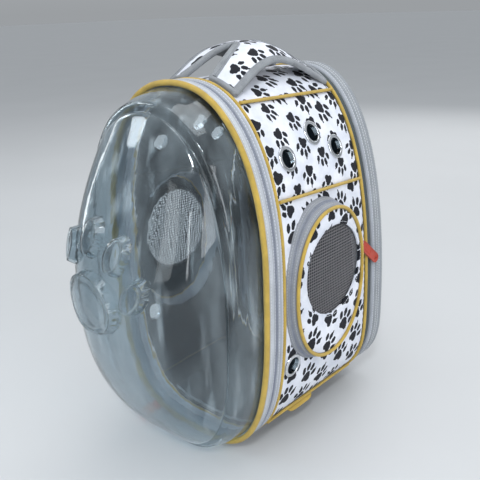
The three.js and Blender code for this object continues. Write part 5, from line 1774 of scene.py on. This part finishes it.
slot_low_z = adjuster_z - 7
web_face_y = BACK_FACE_Y + 0.6 + 1
web_x = 0.313 * BODY_WIDTH
web_route = [
    (STRAP_LOW_X, adjuster_y + 4, adjuster_z + 2),
    (STRAP_LOW_X, adjuster_y, adjuster_z - 2),
    (STRAP_LOW_X, adjuster_y - 4, slot_low_z),
    (STRAP_LOW_X + 2, adjuster_y - 8, slot_low_z - 10),
    (web_x, web_face_y, 0.14 * BODY_HEIGHT + 12),
    (web_x, web_face_y, 0.14 * BODY_HEIGHT),
]


def rounded_box(half_x, half_y, radius, steps=6):
    made = []
    for quarter, (way_x, way_y) in enumerate(((1, 1), (-1, 1), (-1, -1), (1, -1))):
        centre = (way_x * (half_x - radius), way_y * (half_y - radius))
        made += arc(centre, radius, quarter * 90, quarter * 90 + 90, steps)
    return made


for side, label in SIDES:
    path = smooth_path(strap_route, STRAP_STEPS)
    share = np.linspace(0, 1, STRAP_STEPS)
    ends = np.minimum(share, 1 - share)
    widths = STRAP_WIDTH - 10 * np.clip(
        1 - (1 - share) / 0.16, 0, 1
    ) ** 1.5 - 4 * np.clip(1 - share / 0.1, 0, 1)
    thicks = STRAP_THICKNESS * (0.55 + 0.43 * np.clip(ends / 0.08, 0, 1) ** 0.7)
    rings, face = strap_rings(path, widths, thicks)
    strap = open_tube(f"shoulder_pad_{label}", mirrored(rings, side), [STRAP_GREY])
    finish_piece(strap, "grey_webbing", f"shoulder_strap_{label}")
    rolls = []
    for sign in (-1, 1):
        centre = path + sign * (widths / 2 - 0.2)[:, None] * ACROSS
        angle = angles(10)
        ring = sections(
            centre, np.broadcast_to(ACROSS, face.shape), face, 1.7 * np.cos(angle), 1.9 * np.sin(angle)
        )
        roll = open_tube(
            f"strap_edge_{label}_{'outer' if sign > 0 else 'inner'}", mirrored(ring[1:-1], side), [BINDING]
        )
        finish_piece(roll, "grey_webbing")
        inset = path + sign * (widths / 2 - 5.0)[:, None] * ACROSS + face * (thicks / 2 - 0.1)[:, None]
        points, direction, place_share = spaced(inset[2:-2], 3.6, False)
        index = np.clip((place_share * (STRAP_STEPS - 4)).astype(int) + 2, 0, STRAP_STEPS - 1)
        rolls.append((points, direction, face[index]))
    bars = [mirrored(part, side) for part in columns(rolls)]
    finish_piece(pills(f"strap_stitches_{label}", *bars, STRAP_STITCH, THREAD), "grey_webbing")

    loops = [rounded_box(17.5, 11, 3.0), rounded_box(13.5, 7, 1.2)]
    matrix = local_frame(mirrored((STRAP_LOW_X, adjuster_y, adjuster_z), side), (0, 1, 0), (1, 0, 0))
    bar_matrix = matrix @ Matrix.Translation((0, -8.6, 0))
    parts = [
        plate(f"strap_adjuster_a_{label}", loops, -2, 2, 0.9, matrix, BLACK_PLASTIC),
        plate(
            f"strap_adjuster_b_{label}", [rounded_box(14, 1.6, 1.2)], 0.6, 3.2, 0.8, bar_matrix,
            BLACK_PLASTIC
        ),
    ]
    finish_piece(joined(f"strap_buckle_{label}", parts), "dark_plastic", f"strap_adjuster_{label}")

    path = smooth_path(web_route, WEB_STEPS)
    rings, _ = strap_rings(path, np.full(WEB_STEPS, 25.0), np.full(WEB_STEPS, 1.9), 0.2, 20)
    tape = open_tube(f"strap_tape_{label}", mirrored(rings, side), [STRAP_WEB])
    finish_piece(tape, "grey_webbing", f"strap_webbing_{label}")

foot_profile = [(0.02, 0.0), (3.6, 0.0)] + arc((4.6, 3.2), 3.2, -90, -8, 9) + [
    (8.0, 4.2), (8.0, 11.0), (0.02, 11.0)
]
for label in ("front_right", "front_left", "rear_right", "rear_left"):
    low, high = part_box(f"foot_{label}")
    centre = own_place([(low[0] + high[0]) / 2, (low[1] + high[1]) / 2, 0])
    top = high[2] * 1000 - 0.6
    profile = [(r, min(h, top)) for r, h in foot_profile]
    foot = lathe(f"foot_button_{label}", profile, centre, (0, 0, 1), BLACK_PLASTIC, 40, closed=False)
    finish_piece(foot, "dark_plastic", f"foot_{label}")

for side, label in SIDES:
    y = np.linspace(71.0, 117.0, 30)
    turn = seam_share("base", y) / 2 - 0.006
    root = body(y, turn, 0.4)
    normal = body_normal(y, turn)
    across = np.cross(normal, BACKWARDS)
    fade = np.sqrt(np.clip(1 - (np.abs(y - 94) / 23.4) ** 6, 0.02, 1))
    fold = [(1.3 * math.cos(a), 7.3 + 1.3 * math.sin(a)) for a in np.radians([160, 120, 90, 60, 20])]
    wall_side = [(1.35, 6.0), (1.3, 3.0), (1.25, 0.0)]
    outline = [(-w, h) for w, h in reversed(wall_side)] + fold + wall_side
    rings = np.stack([root + across * w + normal * (h * fade)[:, None] for w, h in outline], 1)
    finish_piece(
        open_tube(f"base_loop_{label}", mirrored(rings, side), [YELLOW]),
        "yellow_piping",
        f"base_tab_{label}"
    )

mat_rows = np.linspace(WALL_FRONT + 2.4, WALL_REAR - 2.4, 44)
MAT_TURN = 0.064
mat_turns = np.linspace(-MAT_TURN, MAT_TURN, 50)
turn, y = np.meshgrid(mat_turns, mat_rows, indexing="ij")
to_side = np.minimum(turn + MAT_TURN, MAT_TURN - turn) * 2 * HALF_ROUND
to_edge = np.minimum(to_side, np.minimum(y - mat_rows[0], mat_rows[-1] - y))
puff = 1.2 * (1 - np.exp(-to_edge / 4)) - 0.9 * np.exp(-((turn * 2 * HALF_ROUND) / 3) ** 2)
upper = body(y, turn, -5.6 - 2.4 - puff)
under = body(y, turn, np.full(y.shape, -4.3))
uv = np.stack([y, turn * 2 * HALF_ROUND], -1)
floor_pad = slab("floor_pad", upper, under, uv, [LINING, LINING, BINDING])
finish_piece(floor_pad, "grey_lining", "floor_mat")


# Studio

bpy.context.scene.view_settings.view_transform = "Standard"
floor = bpy.data.meshes.new("studio_floor")
floor.from_pydata([(-30, -30, 0), (30, -30, 0), (30, 30, 0), (-30, 30, 0)], [], [(0, 1, 2, 3)])
floor_mat, web, shader = material("studio_floor_paint")
shade = web.noise(web.node("ShaderNodeTexCoord").outputs["Object"], 3.0, 3.0)
web.put(shader.inputs["Base Color"], web.mix(shade, (0.54, 0.55, 0.56, 1), (0.58, 0.59, 0.6, 1)))
shader.inputs["Roughness"].default_value = 0.85
floor.materials.append(floor_mat)
add_object("studio_floor", floor)

world = bpy.data.worlds.new("studio_world")
world.use_nodes = True
sky = world.node_tree.nodes["Background"]
sky.inputs[0].default_value = (0.8, 0.84, 0.88, 1)
web = Web(world.node_tree)
height = web.node("ShaderNodeSeparateXYZ")
web.put(height.inputs[0], web.node("ShaderNodeTexCoord").outputs["Generated"])
web.put(sky.inputs[1], web.ramp(height.outputs[2], 0.0, 0.4, 0.41, 0.72))
bpy.context.scene.world = world

TARGET = Vector((-0.0104, 0.0306, 0.2075))


def lamp(name, place_at, size, power, colour=(1, 1, 1), shape="RECTANGLE", size_y=None, aim=TARGET):
    data = bpy.data.lights.new(name, "AREA")
    data.energy = power
    data.color = colour
    data.shape = shape
    data.size = size
    if shape in ("RECTANGLE", "ELLIPSE"):
        data.size_y = size_y or size
    obj = add_object(name, data)
    obj.location = place_at
    obj.rotation_euler = (aim - Vector(place_at)).to_track_quat("-Z", "Y").to_euler()
    return obj


lamp("lamp_left", (-1.28, -0.95, 1.12), 0.34, 2.4, (0.86, 0.94, 1.0), "DISK")
lamp("lamp_over_camera", (0.86, -1.13, 1.45), 0.3, 12, (0.93, 0.97, 1.0), "DISK")
lamp("lamp_right", (2.0, -0.2, 0.9), 1.1, 17, (0.97, 0.98, 1.0), size_y=1.4)
lamp("lamp_top", (0.1, 0.2, 2.1), 1.4, 13)
lamp("lamp_back", (-0.6, 2.0, 1.2), 1.2, 10)
lamp("lamp_front", (0.2, -1.9, 0.75), 0.7, 4, (0.94, 0.98, 1.0), size_y=1.1)
lamp("lamp_left_strip", (-1.75, -0.35, 0.7), 0.12, 2.2, (0.94, 0.98, 1.0), size_y=1.2)
lamp("lamp_right_strip", (1.25, -1.5, 0.55), 0.14, 2.4, (0.96, 0.98, 1.0), size_y=1.0)

CAMERA_AZIMUTH, CAMERA_ELEVATION, CAMERA_ROLL = 41.7, 19.51, -2.0
CAMERA_DISTANCE, CAMERA_FOCAL = 0.79079, 656.4
azimuth, elevation, roll = (math.radians(a) for a in (CAMERA_AZIMUTH, CAMERA_ELEVATION, CAMERA_ROLL))
backwards = Vector(
    (math.sin(azimuth) * math.cos(elevation), -math.cos(azimuth) * math.cos(elevation), math.sin(elevation))
)
right = Vector((math.cos(azimuth), math.sin(azimuth), 0))
upwards = backwards.cross(right)
level_right, level_up = right, upwards
right = level_right * math.cos(roll) + level_up * math.sin(roll)
upwards = -level_right * math.sin(roll) + level_up * math.cos(roll)
camera_data = bpy.data.cameras.new("camera")
camera_data.sensor_width = 36
camera_data.lens = 36 * CAMERA_FOCAL / 480
camera_data.clip_start = 0.01
camera = add_object("camera", camera_data)
matrix = Matrix((right, upwards, backwards)).transposed().to_4x4()
matrix.translation = TARGET + backwards * CAMERA_DISTANCE
camera.matrix_world = matrix
bpy.context.scene.camera = camera
